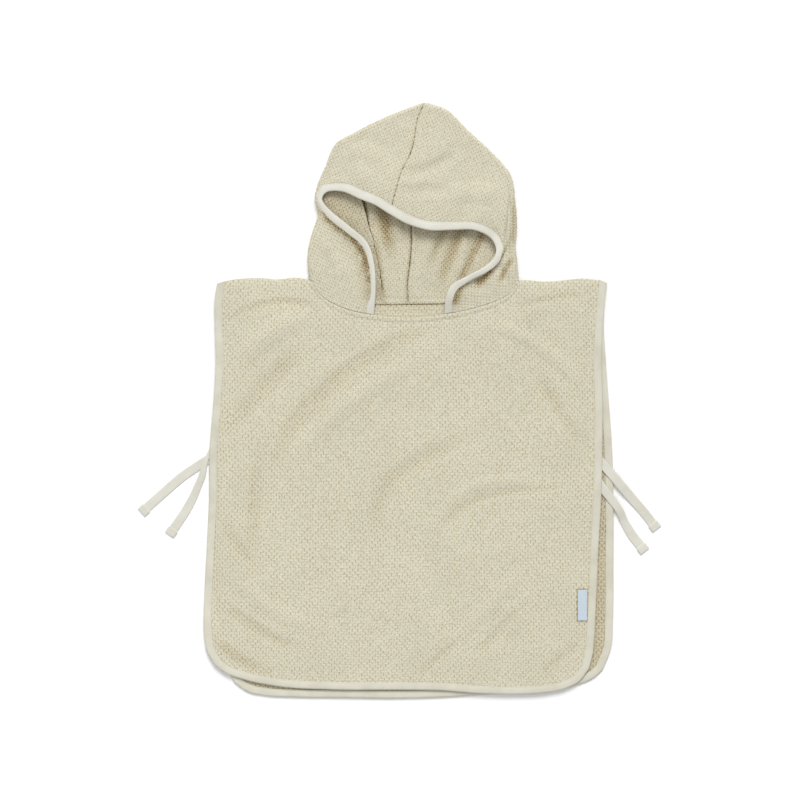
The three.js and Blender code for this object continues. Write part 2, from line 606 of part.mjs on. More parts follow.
// Distances of the front layer's points from the face edge, in a row
function frontStations({ grip, reach }) {
  const first = [CLOTH_EDGE * (grip / BINDING_WIDTH), grip + SEAM, grip + 2.5 * (grip / BINDING_WIDTH)];
  const last = first.at(-1);
  const share = (i) => (i + 1) / HOOD_FRONT_STEPS;
  const rest = Array.from({ length: HOOD_FRONT_STEPS }, (_, i) => lerp(last, reach, share(i)));
  return [...first, ...rest];
}

// The middle surface of a half as a grid, with half the thickness of the cloth at each point.
function hoodGrid(half) {
  const grid = [];
  for (let i = 0; i <= HOOD_ROWS; i += 1) {
    const place = half.row(i / HOOD_ROWS);
    const points = [];
    frontStations(place).forEach((distance, k) => {
      points.push({ at: half.front(place, distance), half: k < 2 ? PRESSED / 2 : TERRY / 2, layer: 'front' });
    });
    for (let k = 1; k < HOOD_ROLL_STEPS; k += 1) {
      const at = half.roll(place, (Math.PI * k) / HOOD_ROLL_STEPS);
      points.push({ at, half: TERRY / 2, layer: 'roll' });
    }
    for (let k = 0; k <= HOOD_BACK_STEPS; k += 1) {
      points.push({ at: half.back(place, k / HOOD_BACK_STEPS), half: TERRY / 2, layer: 'back' });
    }
    grid.push(points);
  }
  return grid;
}

// Upward or outward direction of the cloth at a grid point, square to the seams on the three sewn edges.
function clothNormal(grid, i, j) {
  const [rows, columns] = [grid.length - 1, grid[0].length - 1];
  const point = (a, b) => grid[clamp(a, 0, rows)][clamp(b, 0, columns)].at;
  const alongRow = point(i, j + 1).clone().sub(point(i, j - 1));
  const acrossRows = point(i + 1, j).clone().sub(point(i - 1, j));
  const normal = new THREE.Vector3().crossVectors(acrossRows, alongRow);
  const seam = i === rows ? alongRow : acrossRows;
  if (i === rows || j === columns) {
    const square = new THREE.Vector3(-seam.y, seam.x, 0).normalize();
    normal.addScaledVector(square, -normal.dot(square));
  }
  if (i === 0) normal.y = 0;
  return normal.normalize();
}

function hoodCloth(name, half) {
  const grid = hoodGrid(half);
  const gap = SEAM / 2;
  const upper = [];
  const lower = [];
  grid.forEach((points, i) => {
    const rims = [[], []];
    points.forEach(({ at, half: thick, layer }, j) => {
      const normal = clothNormal(grid, i, j);
      const outward = half.side < 0 ? 1 : -1;
      [1, -1].forEach((sign, k) => {
        const place = at.clone().addScaledVector(normal, sign * outward * thick);
        if (i === grid.length - 1 || j === points.length - 1) place.x += half.side * gap;
        if (i === 0) place.y = neckLine(layer, place.x) + NECK_CUT;
        rims[k].push(place);
      });
    });
    upper.push(rims[0]);
    lower.push(rims[1]);
  });
  return wall(name, upper, lower, TERRY_COLOUR);
}
function neckLine(layer, x) {
  if (layer === 'front') return frontTop(x);
  if (layer === 'back') return backTop(x);
  return Math.max(frontTop(x), backTop(x));
}

// The binding of the face opening, from the neck up the left side, over the forehead and down the right.
function hoodBinding() {
  const stations = [];
  for (let i = 0; i <= HOOD_ROWS; i += 1) stations.push([hoods.left, i / HOOD_ROWS]);
  for (let i = HOOD_ROWS - 1; i >= 0; i -= 1) stations.push([hoods.right, i / HOOD_ROWS]);
  const sections = stations.map(([half, u]) => {
    const place = half.row(u);
    const start = half.front(place, 0);
    const across = half.front(place, place.grip).sub(start).divideScalar(place.grip);
    const ahead = half.front(half.row(Math.min(1, u + 0.01)), 0);
    const behind = half.front(half.row(Math.max(0, u - 0.01)), 0);
    const along = ahead.sub(behind);
    const normal = new THREE.Vector3().crossVectors(across, along).normalize();
    if (normal.z < 0) normal.negate();
    if (u === 0) normal.set(0, 0, 1);
    return BINDING_OUTLINE.map(([distance, up]) => {
      const narrow = distance * (place.grip / BINDING_WIDTH);
      const point = start.clone().addScaledVector(across, narrow).addScaledVector(normal, up);
      if (u === 0) point.y = frontTop(point.x) + NECK_CUT;
      return point;
    });
  });
  return loft('hood_binding', sections, BINDING_OUTLINE, BINDING_COLOUR);
}

// A tie: a flat tape with a turned tab at its end. Its root is cut along the panel's edge.
function tie(name, rows, panel, side) {
  const middle = rows.map(({ x, y, z }) => new THREE.Vector3(x, y, z));
  const path = new THREE.CatmullRomCurve3(middle, false, 'centripetal');
  const length = path.getLength();
  const tab = length - TIE_TAB.length;
  const widths = rows.map(({ width }, i) => ({ width, part: i / (rows.length - 1) }));
  const widthAt = profile(widths, 'part', 'width');
  const stops = [...steps(0, tab - TIE_TAB.step, length / TIE_STEPS), tab, length];
  const edge = side < 0 ? profile(FRONT_LEFT, 'y', 'x') : profile(FRONT_RIGHT, 'y', 'x');
  const outline = [[-1, 0], [1, 0], [1, 1], [-1, 1]];
  const sections = stops.map((stop) => {
    const centre = path.getPointAt(stop / length);
    const direction = path.getTangentAt(stop / length).setZ(0).normalize();
    const square = new THREE.Vector3(-direction.y, direction.x, 0);
    const isTab = stop >= tab;
    const width = isTab ? TIE_TAB.width : widthAt(clamp(stop / tab, 0, 1));
    const thickness = isTab ? TIE_TAB.thickness : TIE_THICKNESS;
    return outline.map(([across, up]) => {
      const point = centre.clone().addScaledVector(square, (across * width) / 2);
      if (stop === 0) {
        const target = edge(point.y) + side * SEAM;
        point.addScaledVector(direction, (target - point.x) / direction.x);
        point.x = edge(point.y) + side * SEAM;
      }
      point.z = Math.max(0, centre.z) + up * thickness;
      return point;
    });
  });
  return loft(name, sections, outline, TIE_COLOUR);
}

// The label lies on the front panel beside its right binding.
function label() {
  const { x, y, width, height, thickness, clearance, step } = LABEL;
  const across = [-width / 2, 0, width / 2];
  const along = steps(height / 2, -height / 2, step);
  const layer = (up) => along.map((dy) => across.map((dx) => {
    const cloth = FRONT.base(x + dx, y + dy) + panelLift(FRONT, x + dx, y + dy) + TERRY;
    return new THREE.Vector3(x + dx, y + dy, cloth + clearance + up);
  }));
  return wall('label', layer(thickness), layer(0), LABEL_COLOUR);
}

// Stations along the neck, so that panels and hood share their points there
function neckStations(half, part) {
  const neck = half.row(0);
  if (part === 'front') return frontStations(neck).map((d) => half.front(neck, d).x);
  return steps(0, 1, 1 / HOOD_BACK_STEPS).map((b) => half.back(neck, b).x);
}
const frontNeck = [
  NECK_LEFT + NECK_END,
  ...neckStations(hoods.left, 'front').reverse(),
  ...steps(HOOD_LEFT[0].faceX, HOOD_RIGHT[0].faceX, NECK_STEP),
  ...neckStations(hoods.right, 'front'),
  NECK_RIGHT - NECK_END,
];
const backNeck = [
  NECK_LEFT + NECK_END,
  ...neckStations(hoods.left, 'back'),
  ...neckStations(hoods.right, 'back').reverse().slice(1),
  NECK_RIGHT - NECK_END,
];

const overhang = [THICK_FROM + OVERHANG_STEP];
const frontColumns = panelStations(frontNeck, EDGE_STATIONS, [...EDGE_STATIONS, ...overhang]);
const backColumns = panelStations(backNeck, EDGE_STATIONS, EDGE_STATIONS);

const poncho = new THREE.Group();
poncho.add(
  panelCloth(FRONT, frontColumns, rollFrontDown),
  panelCloth(BACK, backColumns, rollBackUp),
  panelBinding('front_binding', FRONT, frontColumns),
  panelBinding('back_binding', BACK, backColumns),
  hoodCloth('hood_left', hoods.left),
  hoodCloth('hood_right', hoods.right),
  hoodBinding(),
  tie('tie_left_front', TIE_LEFT_FRONT, FRONT, -1),
  tie('tie_left_back', TIE_LEFT_BACK, FRONT, -1),
  tie('tie_right_front', TIE_RIGHT_FRONT, FRONT, 1),
  tie('tie_right_back', TIE_RIGHT_BACK, FRONT, 1),
  label(),
);

export default poncho;
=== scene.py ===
"""Looks of a toddler's hooded bath poncho: looped terry, jersey bindings, ties and a bare label.

Sizes are in millimetres up to the meshes, which are in metres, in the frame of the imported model:
+X is the viewer's right, +Y runs from the hem to the hood and +Z is up off the table.
"""
import math

import bpy
import numpy as np
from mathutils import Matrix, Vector


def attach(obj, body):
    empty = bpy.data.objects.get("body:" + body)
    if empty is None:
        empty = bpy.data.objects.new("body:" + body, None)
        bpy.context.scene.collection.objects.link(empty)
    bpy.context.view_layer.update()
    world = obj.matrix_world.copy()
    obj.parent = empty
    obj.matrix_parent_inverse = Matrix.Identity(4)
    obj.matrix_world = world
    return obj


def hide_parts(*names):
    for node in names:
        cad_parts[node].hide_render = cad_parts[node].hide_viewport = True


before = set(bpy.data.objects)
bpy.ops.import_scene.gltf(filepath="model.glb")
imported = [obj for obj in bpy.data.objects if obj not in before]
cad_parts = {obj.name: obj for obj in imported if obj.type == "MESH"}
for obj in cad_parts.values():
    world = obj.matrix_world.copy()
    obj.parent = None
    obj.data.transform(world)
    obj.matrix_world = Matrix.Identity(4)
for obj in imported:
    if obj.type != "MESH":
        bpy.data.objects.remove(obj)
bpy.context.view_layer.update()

# Cloth and tape, as in the solids
TERRY = 3.0
BINDING_WIDTH = 10.0
BINDING_HEIGHT = 3.9
SEAM = 0.3
CLOTH_EDGE = 1.8  # from the binding's outer edge to the cloth's edge inside it
FRONT_BASE = BINDING_HEIGHT + SEAM
HOOD_BACK_MIDDLE = TERRY / 2
ROLL = 3.1
ROLL_AT_NECK = (FRONT_BASE + TERRY / 2 - HOOD_BACK_MIDDLE) / 2
THIN = 0.6  # cloth hidden inside a binding

# Tufts: a centred lattice, one tuft in the middle and one at the corners of each repeat
TUFT_X = 6.9
TUFT_Y = 7.4
TUFT_HEIGHT = 0.5
TUFT_MEAN = 0.62
BACK_SHADE = 0.38  # tint of the back panel, where the front shades it

MM = 0.001


def table(columns, rows):
    """A table of rows as a dict of columns."""
    return {name: np.array([row[i] for row in rows], float) for i, name in enumerate(columns)}


SHOULDER_LEFT = table("xy", [
    [-237, 152], [-222, 156], [-182, 159], [-157, 157.4], [-137, 159.8], [-115, 156.5],
])
SHOULDER_RIGHT = table("xy", [
    [155, 156.5], [168, 156.4], [190, 154.6], [215, 156.5], [238, 158.6], [256, 156.6], [269.5, 152.5],
])
NECK_FRONT = table("xy", [
    [-115, 156.5], [-111, 149], [-102, 137.5], [-83, 125], [-59, 116.5], [-33, 111.8], [12, 108.5],
    [58, 112.6], [83, 117], [107, 123.5], [131, 132.4], [146, 142.5], [155, 156.5],
])
NECK_BACK = table("xy", [
    [-115, 156.5], [-111, 150], [-101, 139.5], [-82, 130.6], [-51, 125.8], [12, 124.6], [60, 125.8],
    [95, 129], [122, 135.5], [144, 146], [155, 156.5],
])
NECK_LEFT, NECK_RIGHT = -115.0, 155.0

FRONT_LEFT = table("yx", [
    [152, -237], [130, -240], [98, -239.8], [50, -238.8], [0, -241.5], [-64, -246.8], [-130, -247.7],
    [-200, -251], [-260, -253.8], [-303, -253.6], [-327, -249], [-344, -239],
])
FRONT_RIGHT = table("yx", [
    [152.5, 269.5], [128, 266.8], [98, 264.3], [60, 262.2], [0, 263.5], [-70, 263.2], [-126, 261.9],
    [-200, 257.8], [-260, 255.3], [-303, 253], [-330, 250.6], [-348, 246],
])
FRONT_HEM = table("xy", [
    [-239, -344], [-228, -352.2], [-204, -361.5], [-158, -371], [-90, -375.2], [0, -375.6],
    [55, -376.4], [100, -380], [146, -381.3], [189, -379.2], [219, -372.4], [236, -362], [246, -348],
])
BACK_LEFT = table("yx", [
    [152, -237], [98, -235], [50, -231.5], [0, -230], [-64, -229], [-130, -225], [-200, -222],
    [-290, -222.5], [-332, -223.5], [-354, -221.8], [-367, -214],
])
BACK_RIGHT = table("yx", [
    [152.5, 269.5], [128, 266.8], [98, 265.6], [60, 267.6], [5, 271.4], [-58, 276], [-130, 278],
    [-210, 278], [-285, 277.3], [-324, 274.4], [-350, 264],
])
BACK_HEM = table("xy", [
    [-214, -367], [-198, -378], [-177, -383], [-136, -385.4], [-77, -386.2], [-6, -387], [48, -385.7],
    [98, -383], [157, -379.8], [209, -375], [237, -367.5], [255, -358.4], [264, -350],
])

# Soft folds, each as [ax, ay, bx, by, cx, cy, half, rise]: it runs from a over b to c, reaches half to a
# side of that line, and rises or sinks by rise. The line is followed in straight legs.
FOLD_LEGS = 6
FRONT_FOLDS = [
    [-226, 34, -168, 88, -112, 108, 19, 2.0],
    [-222, -32, -179, 12, -126, 66, 18, -1.5],
    [-226, 104, -162, 128, -108, 119, 8, -1.4],
    [44, 100, -89, 20, -160, -74, 17, -1.7],
    [62, 70, -70, -8, -144, -90, 17, 1.5],
    [-182, -70, -189, -140, -190, -196, 13, -1.4],
    [-233, -156, -208, -190, -184, -223, 10, -1.0],
    [-241, -252, -180, -301, -130, -322, 11, -1.3],
    [-222, -226, -168, -268, -108, -298, 14, 1.0],
    [112, 104, 190, 64, 248, 8, 13, 1.7],
    [150, 122, 200, 133, 243, 138, 7, -1.2],
    [178, 36, 205, -12, 240, -56, 12, -1.3],
    [48, -160, 96, -112, 180, -106, 12, 1.2],
    [52, -180, 100, -130, 205, -116, 9, -0.9],
    [-28, -170, -8, -102, 95, -46, 16, -1.2],
    [22, -356, 48, -336, 78, -310, 8, -1.3],
    [82, -306, 120, -262, 166, -218, 15, 1.2],
    [100, -330, 127, -302, 158, -268, 9, -1.0],
    [183, -356, 208, -335, 234, -310, 8, -1.2],
]
HOOD_FRONT_FOLDS = [
    [2, 290, 45, 303, 74, 322, 12, -2.6],
    [0, 268, 30, 272, 62, 270, 12, -1.8],
    [-70, 318, -40, 322, -10, 300, 16, 1.8],
    [60, 262, 96, 270, 132, 262, 18, 2.4],
    [-100, 214, -84, 184, -62, 152, 14, 1.6],
    [118, 190, 132, 168, 137, 150, 9, -2],
]
HOOD_BACK_FOLDS = [
    [-2, 250, 0, 205, 0, 150, 9, 2.0],
    [37, 240, 36, 192, 33, 140, 15, 2.2],
    [85, 220, 81, 190, 74, 158, 8, 3.2],
    [-34, 226, -27, 200, -20, 160, 7, 1.8],
]

# Hollows in the same columns, the last of which says how dark the painted shade in them is: over the
# front's lower left corner, painted only, and between the folds inside the hood and outside on its right
# half, where the cloth sinks too
FRONT_SHADE_PATCHES = [
    [-238, -308, -214, -330, -172, -352, 11, 0.3],
]
INNER_SHADED_HOLLOWS = [
    [-38, 292, -22, 244, -13, 190, 11, 0.6],
    [-34, 210, -27, 168, -21, 112, 9, 0.5],
    [76, 252, 54, 212, 36, 176, 8, 0.35],
    [98, 262, 72, 204, 50, 146, 12, 0.5],
    [120, 240, 95, 190, 74, 142, 8, 0.6],
]
OUTER_SHADED_HOLLOWS = [
    [97, 149, 110, 160, 122, 175, 9, 1.0],
    [130, 153, 137, 169, 147, 186, 6, 0.75],
    [146, 262, 148, 228, 142, 194, 6, 0.45],
]

# Hood, in rows from the neck up to the seam over the top. face is the edge of the face opening, edge the
# sewn edge of its binding, fold where the cloth turns to the back, spine the seam down the back of the
# head, lift how far the cloth at the sewn edge stands above the fold, and stand the face edge above that.
HOOD_COLUMNS = [
    "faceX", "faceY", "edgeX", "edgeY", "foldX", "foldY", "spineX", "spineY", "lift", "stand",
]
HOOD_LEFT = table(HOOD_COLUMNS, [
    [-33, 111.8, -42.3, 113.5, -115, 156.5, 11.7, 124.6, 0, 0],
    [-30.8, 146, -35.4, 145.7, -118.7, 171, 10.4, 150, 0, 6],
    [-33, 177.5, -37.6, 176.8, -119.3, 186, 13.7, 178.8, 0, 7],
    [-42, 205, -47.4, 200.9, -117.2, 204, 15.6, 202.2, 0, 6.5],
    [-65, 226, -70, 220, -111.6, 223, 15.6, 221.7, 0, 6],
    [-88, 245, -92, 237, -106, 243, 16, 241.2, 0, 4],
    [-100, 260, -105, 258.5, -110, 262, 16.9, 260.7, 0.5, 1.5],
    [-93, 270.5, -98.5, 278.3, -106.2, 281.4, 18.2, 278.9, 2.5, 0.5],
    [-73.5, 270.4, -71, 281.2, -96.4, 303.6, 20.2, 297.1, 6.5, 0],
    [-51.4, 260.7, -47, 272.8, -83.8, 332.4, 22.1, 315.2, 9.5, 0],
    [-33.1, 253.5, -28, 264.2, -57.6, 348.6, 24.1, 333.4, 11, 0],
    [-22.2, 247, -17.2, 258, -16.2, 368.6, 26.2, 354.2, 11, 0],
    [-13.8, 241.6, -8.5, 252.8, 31.8, 387.3, 29.5, 373, 11, 0],
])
HOOD_RIGHT = table(HOOD_COLUMNS, [
    [58, 112.6, 66.9, 114, 155, 156.5, 11.7, 124.6, 0, 0],
    [60, 133, 68.4, 131.2, 154.6, 168, 10.4, 150, 0.5, 5],
    [68, 150, 74.2, 144.6, 153.3, 178, 13.7, 178.8, 0, 6.5],
    [87.8, 161.4, 91, 156.2, 152, 189, 15.6, 202.2, 0, 7],
    [109.3, 173, 112.6, 167, 151, 200, 15.6, 221.7, 0.5, 7],
    [122.2, 185.4, 128, 180.6, 152, 214, 16, 241.2, 1.5, 5],
    [124.6, 198.2, 133.6, 199.5, 152.5, 232, 16.9, 260.7, 3, 2],
    [116.2, 212, 124.1, 218.2, 150.5, 258, 18.2, 278.9, 5, 0],
    [95.4, 220.8, 99.4, 230.3, 144.5, 292, 20.2, 297.1, 8, 0],
    [68.2, 220.6, 67.5, 231.4, 120.2, 321.8, 22.1, 315.2, 10, 0],
    [39.4, 220.2, 38.2, 231.8, 89, 350.4, 24.1, 333.4, 11, 0],
    [10.2, 228.4, 14.4, 240, 61.8, 377, 26.2, 354.2, 11, 0],
    [-13.8, 241.6, -8.5, 252.8, 31.8, 387.3, 29.5, 373, 11, 0],
])
# Sideways sway of the seam over the top, by its share from the binding to the crown
TOP_SEAM = table("ts", [
    [0, -1.2], [0.19, -2.3], [0.33, -2.3], [0.41, -0.4], [0.53, 2.6], [0.67, 1.4], [0.81, -1.2],
    [0.89, -1.8], [1, 0],
])
# Creases inside, down the sides of the head, for -1 left and 1 right: rise of the outer side over the
# inner one, how far it hangs over, its spread and slope, the depth of the slot at its foot, the heights
# between which it fades, and its line
CREASE_WIDTH = 1.8
INNER_CREASES = {
    -1: {"rise": 4.4, "hang": 3.8, "spread": 13, "slope": CREASE_WIDTH, "slot": 1.8, "fade": (256, 280),
         "line": table("yx", [
             [154.1, -23.8], [179, -28], [195.7, -32.1], [212.3, -35.2], [226.9, -40.4], [243.5, -44.6],
         ])},
    1: {"rise": 1.5, "hang": 0.0, "spread": 18, "slope": 4.0, "slot": 0.0, "fade": (215, 240),
        "line": table("yx", [[150, 76], [166.5, 82.3], [185.3, 90.6], [204, 96.9]])},
}
SLOT_AT = 3.6
SPINE_RISE = 2.6
NARROWER_ON_EDGE = 4.6  # how much narrower the hood's binding is where it stands on edge
WIDEST_BINDING = 12.2
FLAP_STEP = 3.4
FLAP_EDGE = table("yx", [[196, 133], [231, 137], [270, 142], [287, 145]])

TIE_THICKNESS = 1.2
TIE_TAB = 8.5
TIE_TAB_WIDTH = 14.0
TIE_TAB_THICKNESS = 2.4
BACK_TOP = FRONT_BASE
OVER_TIE = TIE_THICKNESS + SEAM
# Each tie: its side, and its middle line as [x, y, height of its underside, width]
TIES = {
    "tie_left_back": (-1, [
        [-248, -76, 0, 12], [-264, -86.5, 0, 12], [-283, -99.5, 0, 12], [-301, -115, 0, 12],
        [-318, -130, 0, 12], [-335.3, -145.6, 0, 12],
    ]),
    "tie_left_front": (-1, [
        [-248.4, -71, OVER_TIE, 5], [-252.6, -81, OVER_TIE, 6], [-256.5, -97, OVER_TIE, 8.5],
        [-262, -111, 0.6, 9.5], [-266.5, -122, 0, 10.5], [-276, -140.5, 0, 11.5], [-287.5, -158, 0, 12],
        [-299, -174.5, 0, 12],
    ]),
    "tie_right_front": (1, [
        [263.4, -82, BACK_TOP, 12], [277, -97.5, BACK_TOP, 12], [289, -112, 3.8, 12],
        [303.5, -129, 0.9, 12], [317, -144.5, 0, 12], [334.5, -167, 0, 12],
    ]),
    "tie_right_back": (1, [
        [262.4, -112, BACK_TOP, 12], [277, -130.5, BACK_TOP, 11], [286, -143.5, 3.8, 10],
        [292, -157, 1, 10.5], [300, -171.5, 0, 12], [319, -196, 0, 12],
    ]),
}
LABEL = {"x": 237.4, "y": -265.5, "width": 12.0, "height": 40.0}


def smoothstep(value, low, high):
    """0 below low, 1 above high, and smooth between them."""
    t = np.clip((np.asarray(value, float) - low) / (high - low), 0, 1)
    return t * t * (3 - 2 * t)


def lerp(a, b, share):
    return a + (b - a) * share


def profile(x, y):
    """A smooth curve through the points (x, y), straight past its ends."""
    if x[-1] < x[0]:
        x, y = x[::-1], y[::-1]
    gap = np.diff(x)
    rate = np.diff(y) / gap
    slope = np.concatenate([
        rate[:1],
        (rate[:-1] * gap[1:] + rate[1:] * gap[:-1]) / (gap[:-1] + gap[1:]),
        rate[-1:],
    ])

    def at(value):
        value = np.asarray(value, float)
        i = np.clip(np.searchsorted(x, value, side="right") - 1, 0, len(x) - 2)
        t = np.clip((value - x[i]) / gap[i], 0, 1)
        rise = y[i] * (1 - t) ** 2 * (1 + 2 * t) + y[i + 1] * t * t * (3 - 2 * t)
        rise = rise + gap[i] * t * (1 - t) * (slope[i] * (1 - t) - slope[i + 1] * t)
        return rise + slope[0] * np.minimum(value - x[0], 0) + slope[-1] * np.maximum(value - x[-1], 0)

    return at


def waves(seed, x, y, wavelength, count=14):
    """Smooth uneven height with a root mean square of 1, from plane waves in random directions."""
    random = np.random.default_rng(seed)
    total = np.zeros(np.broadcast(x, y).shape)
    for _ in range(count):
        angle, phase, size = random.uniform(0, 1, 3)
        number = 2 * math.pi / (wavelength * (0.6 + 1.1 * size))
        turn = 2 * math.pi * angle
        total += np.cos(number * (math.cos(turn) * x + math.sin(turn) * y) + 2 * math.pi * phase)
    return total * math.sqrt(2 / count)


def chance(i, j, seed=0.0):
    """A number from 0 to 1 for each pair of whole numbers."""
    value = np.sin(i * 127.1 + j * 311.7 + seed * 74.7) * 43758.5453
    return value - np.floor(value)


def tufts(u, v):
    """Height of the pile, 0 in a gap and 1 on a tuft, at places given in repeats."""
    wave = np.cos(2 * math.pi * u) * np.cos(2 * math.pi * v)
    round_top = 1 - ((1 - wave) / 2) ** 1.5
    size = 0.62 + 0.62 * chance(np.rint(2 * u), np.rint(2 * v))
    return round_top * size


def fold_height(folds, x, y):
    """Sum of the folds' heights: round ridges and troughs that fade at both ends."""
    height = np.zeros(np.broadcast(x, y).shape)
    for ax, ay, bx, by, cx, cy, half, rise in folds:
        best = np.full(height.shape, np.inf)
        along = np.zeros(height.shape)
        t = np.linspace(0, 1, FOLD_LEGS + 1)
        line_x = ax * (1 - t) * (1 - 2 * t) + bx * 4 * t * (1 - t) + cx * t * (2 * t - 1)
        line_y = ay * (1 - t) * (1 - 2 * t) + by * 4 * t * (1 - t) + cy * t * (2 * t - 1)
        for leg in range(FOLD_LEGS):
            x0, y0, x1, y1 = line_x[leg], line_y[leg], line_x[leg + 1], line_y[leg + 1]
            square = (x1 - x0) ** 2 + (y1 - y0) ** 2
            part = np.clip(((x - x0) * (x1 - x0) + (y - y0) * (y1 - y0)) / square, 0, 1)
            distance = np.hypot(x - lerp(x0, x1, part), y - lerp(y0, y1, part))
            along = np.where(distance < best, (leg + part) / FOLD_LEGS, along)
            best = np.minimum(best, distance)
        across = np.maximum(0, 1 - (best / half) ** 2) ** 2
        fade = smoothstep(along, 0, 0.25) * (1 - smoothstep(along, 0.75, 1))
        height += rise * across * lerp(0.25, 1, fade)
    return height


class Panel:
    """The plan and the heights of the front or the back."""

    def __init__(self, left, right, hem, neck):
        self.left = profile(left["y"], left["x"])
        self.right = profile(right["y"], right["x"])
        self.hem = profile(hem["x"], hem["y"])
        self.neck = profile(neck["x"], neck["y"])
        self.top_y = (left["y"][0], right["y"][0])
        self.low_y = (left["y"][-1], right["y"][-1])
        self.hem_x = (hem["x"][0], hem["x"][-1])
        self.line = self.edge_point(np.linspace(0, 3, 901))

    def top(self, x):
        outer = np.where(x <= NECK_LEFT, SHOULDER_LEFT_LINE(x), SHOULDER_RIGHT_LINE(x))
        return np.where((x > NECK_LEFT) & (x < NECK_RIGHT), self.neck(x), outer)

    def edge_point(self, q):
        """A point of the bound edge: q to 1 down the left, to 2 along the hem, to 3 up the right."""
        q = np.asarray(q, float)
        left_y = lerp(self.top_y[0], self.low_y[0], np.clip(q, 0, 1))
        hem_x = lerp(self.hem_x[0], self.hem_x[1], np.clip(q - 1, 0, 1))
        right_y = lerp(self.top_y[1], self.low_y[1], np.clip(3 - q, 0, 1))
        x = np.where(q <= 1, self.left(left_y), np.where(q <= 2, hem_x, self.right(right_y)))
        y = np.where(q <= 1, left_y, np.where(q <= 2, self.hem(hem_x), right_y))
        return np.stack([x, y], -1)

    def edge(self, q):
        """The point of the bound edge and the direction into the panel there."""
        near = 0.012
        along = self.edge_point(np.minimum(3, q + near)) - self.edge_point(np.maximum(0, q - near))
        along /= np.linalg.norm(along, axis=-1, keepdims=True)
        return self.edge_point(q), np.stack([-along[..., 1], along[..., 0]], -1)

    def inset(self, q, distance):
        point, inward = self.edge(q)
        return point + inward * np.expand_dims(distance, -1)

    def patch(self, s, t, distance):
        """A place for s across and t down the panel whose bound edge is moved in by distance."""
        left, right = self.inset(t, distance + 0 * t), self.inset(3 - t, distance + 0 * t)
        hem = self.inset(1 + s, distance + 0 * s)
        ends = [self.inset(np.array(q), np.array(distance)) for q in (0.0, 3.0, 1.0, 2.0)]
        top_x = lerp(ends[0][0], ends[1][0], s)
        top = np.stack([top_x, self.top(top_x)], -1)
        ends[0][1], ends[1][1] = self.top(ends[0][0]), self.top(ends[1][0])
        s, t = s[..., None], t[..., None]
        corners = (1 - s) * (1 - t) * ends[0] + s * (1 - t) * ends[1]
        corners = corners + (1 - s) * t * ends[2] + s * t * ends[3]
        return (1 - t) * top + t * hem + (1 - s) * left + s * right - corners

    def distance(self, x, y):
        """Distance from the bound edge."""
        best = np.full(np.shape(x), np.inf)
        line = self.line[::3]
        for (ax, ay), (bx, by) in zip(line[:-1], line[1:]):
            square = (bx - ax) ** 2 + (by - ay) ** 2
            part = np.clip(((x - ax) * (bx - ax) + (y - ay) * (by - ay)) / square, 0, 1)
            best = np.minimum(best, np.hypot(x - lerp(ax, bx, part), y - lerp(ay, by, part)))
        return best


SHOULDER_LEFT_LINE = profile(SHOULDER_LEFT["x"], SHOULDER_LEFT["y"])
SHOULDER_RIGHT_LINE = profile(SHOULDER_RIGHT["x"], SHOULDER_RIGHT["y"])
FRONT = Panel(FRONT_LEFT, FRONT_RIGHT, FRONT_HEM, NECK_FRONT)
BACK = Panel(BACK_LEFT, BACK_RIGHT, BACK_HEM, NECK_BACK)


def front_base(x, y):
    """Height of the front's underside: on the back, and at its left edge down to the table."""
    corner = 1 - smoothstep(y, -325, -235)
    return FRONT_BASE * np.maximum(corner, smoothstep(x - BACK.left(y), -24, -4))


def back_base(x, y):
    return np.zeros(np.broadcast(x, y).shape)


FRONT_SLACK = 1.6  # how far the slack cloth stands above the bound edge's level


def front_lift(x, y, distance):
    """Folds of the front and the unevenness between them, none where the binding holds it flat."""
    free = smoothstep(distance, BINDING_WIDTH, 60) * smoothstep(FRONT.top(x) - y, 0, 45)
    soft = smoothstep(distance, BINDING_WIDTH, 30) * smoothstep(FRONT.top(x) - y, 0, 20)
    low = FRONT_SLACK + fold_height(FRONT_FOLDS, x, y)
    uneven = 0.12 * waves(3, x, y, 95) + 0.09 * waves(4, x, y, 38)
    return np.maximum(0, low * free + uneven * soft)


# Meshes

def new_mesh(name, points, faces, uv, slots, face_slot=None, hollow=0.0):
    """A mesh object from points in millimetres, faces, and for each point a grain place and a tint of
    painted shade or of a seam's dark.
    """
    mesh = bpy.data.meshes.new(name)
    counts = np.concatenate([np.full(len(group), group.shape[1]) for group in faces])
    corners = np.concatenate([group.ravel() for group in faces]).astype(np.int32)
    mesh.vertices.add(len(points))
    mesh.vertices.foreach_set("co", (np.asarray(points, float) * MM).astype(np.float32).ravel())
    mesh.loops.add(len(corners))
    mesh.loops.foreach_set("vertex_index", corners)
    mesh.polygons.add(len(counts))
    starts = np.concatenate([[0], np.cumsum(counts)[:-1]]).astype(np.int32)
    mesh.polygons.foreach_set("loop_start", starts)
    mesh.polygons.foreach_set("use_smooth", np.full(len(counts), True))
    if face_slot is not None:
        mesh.polygons.foreach_set("material_index", face_slot.astype(np.int32))
    layer = mesh.uv_layers.new(name="grain")
    layer.data.foreach_set("uv", np.asarray(uv, np.float32)[corners].ravel())
    # Second UV layer: painted shade up to 1, and above 1 painted crease shade or the dark of sewn seams
    deep = np.zeros((len(points), 2), np.float32)
    deep[:, 0] = hollow
    mesh.uv_layers.new(name="hollow").data.foreach_set("uv", deep[corners].ravel())
    mesh.update(calc_edges=True)
    mesh.validate()
    mesh.set_sharp_from_angle(angle=math.radians(65))
    piece = bpy.data.objects.new(name, mesh)
    bpy.context.scene.collection.objects.link(piece)
    for material in slots:
        mesh.materials.append(material)
    return piece


def quads(rows, columns, start=0, flip=False):
    """Faces of a grid of points in rows."""
    index = start + np.arange(rows * columns).reshape(rows, columns)
    corners = [index[:-1, :-1], index[1:, :-1], index[1:, 1:], index[:-1, 1:]]
    if flip:
        corners = corners[::-1]
    return np.stack([c.ravel() for c in corners], -1)


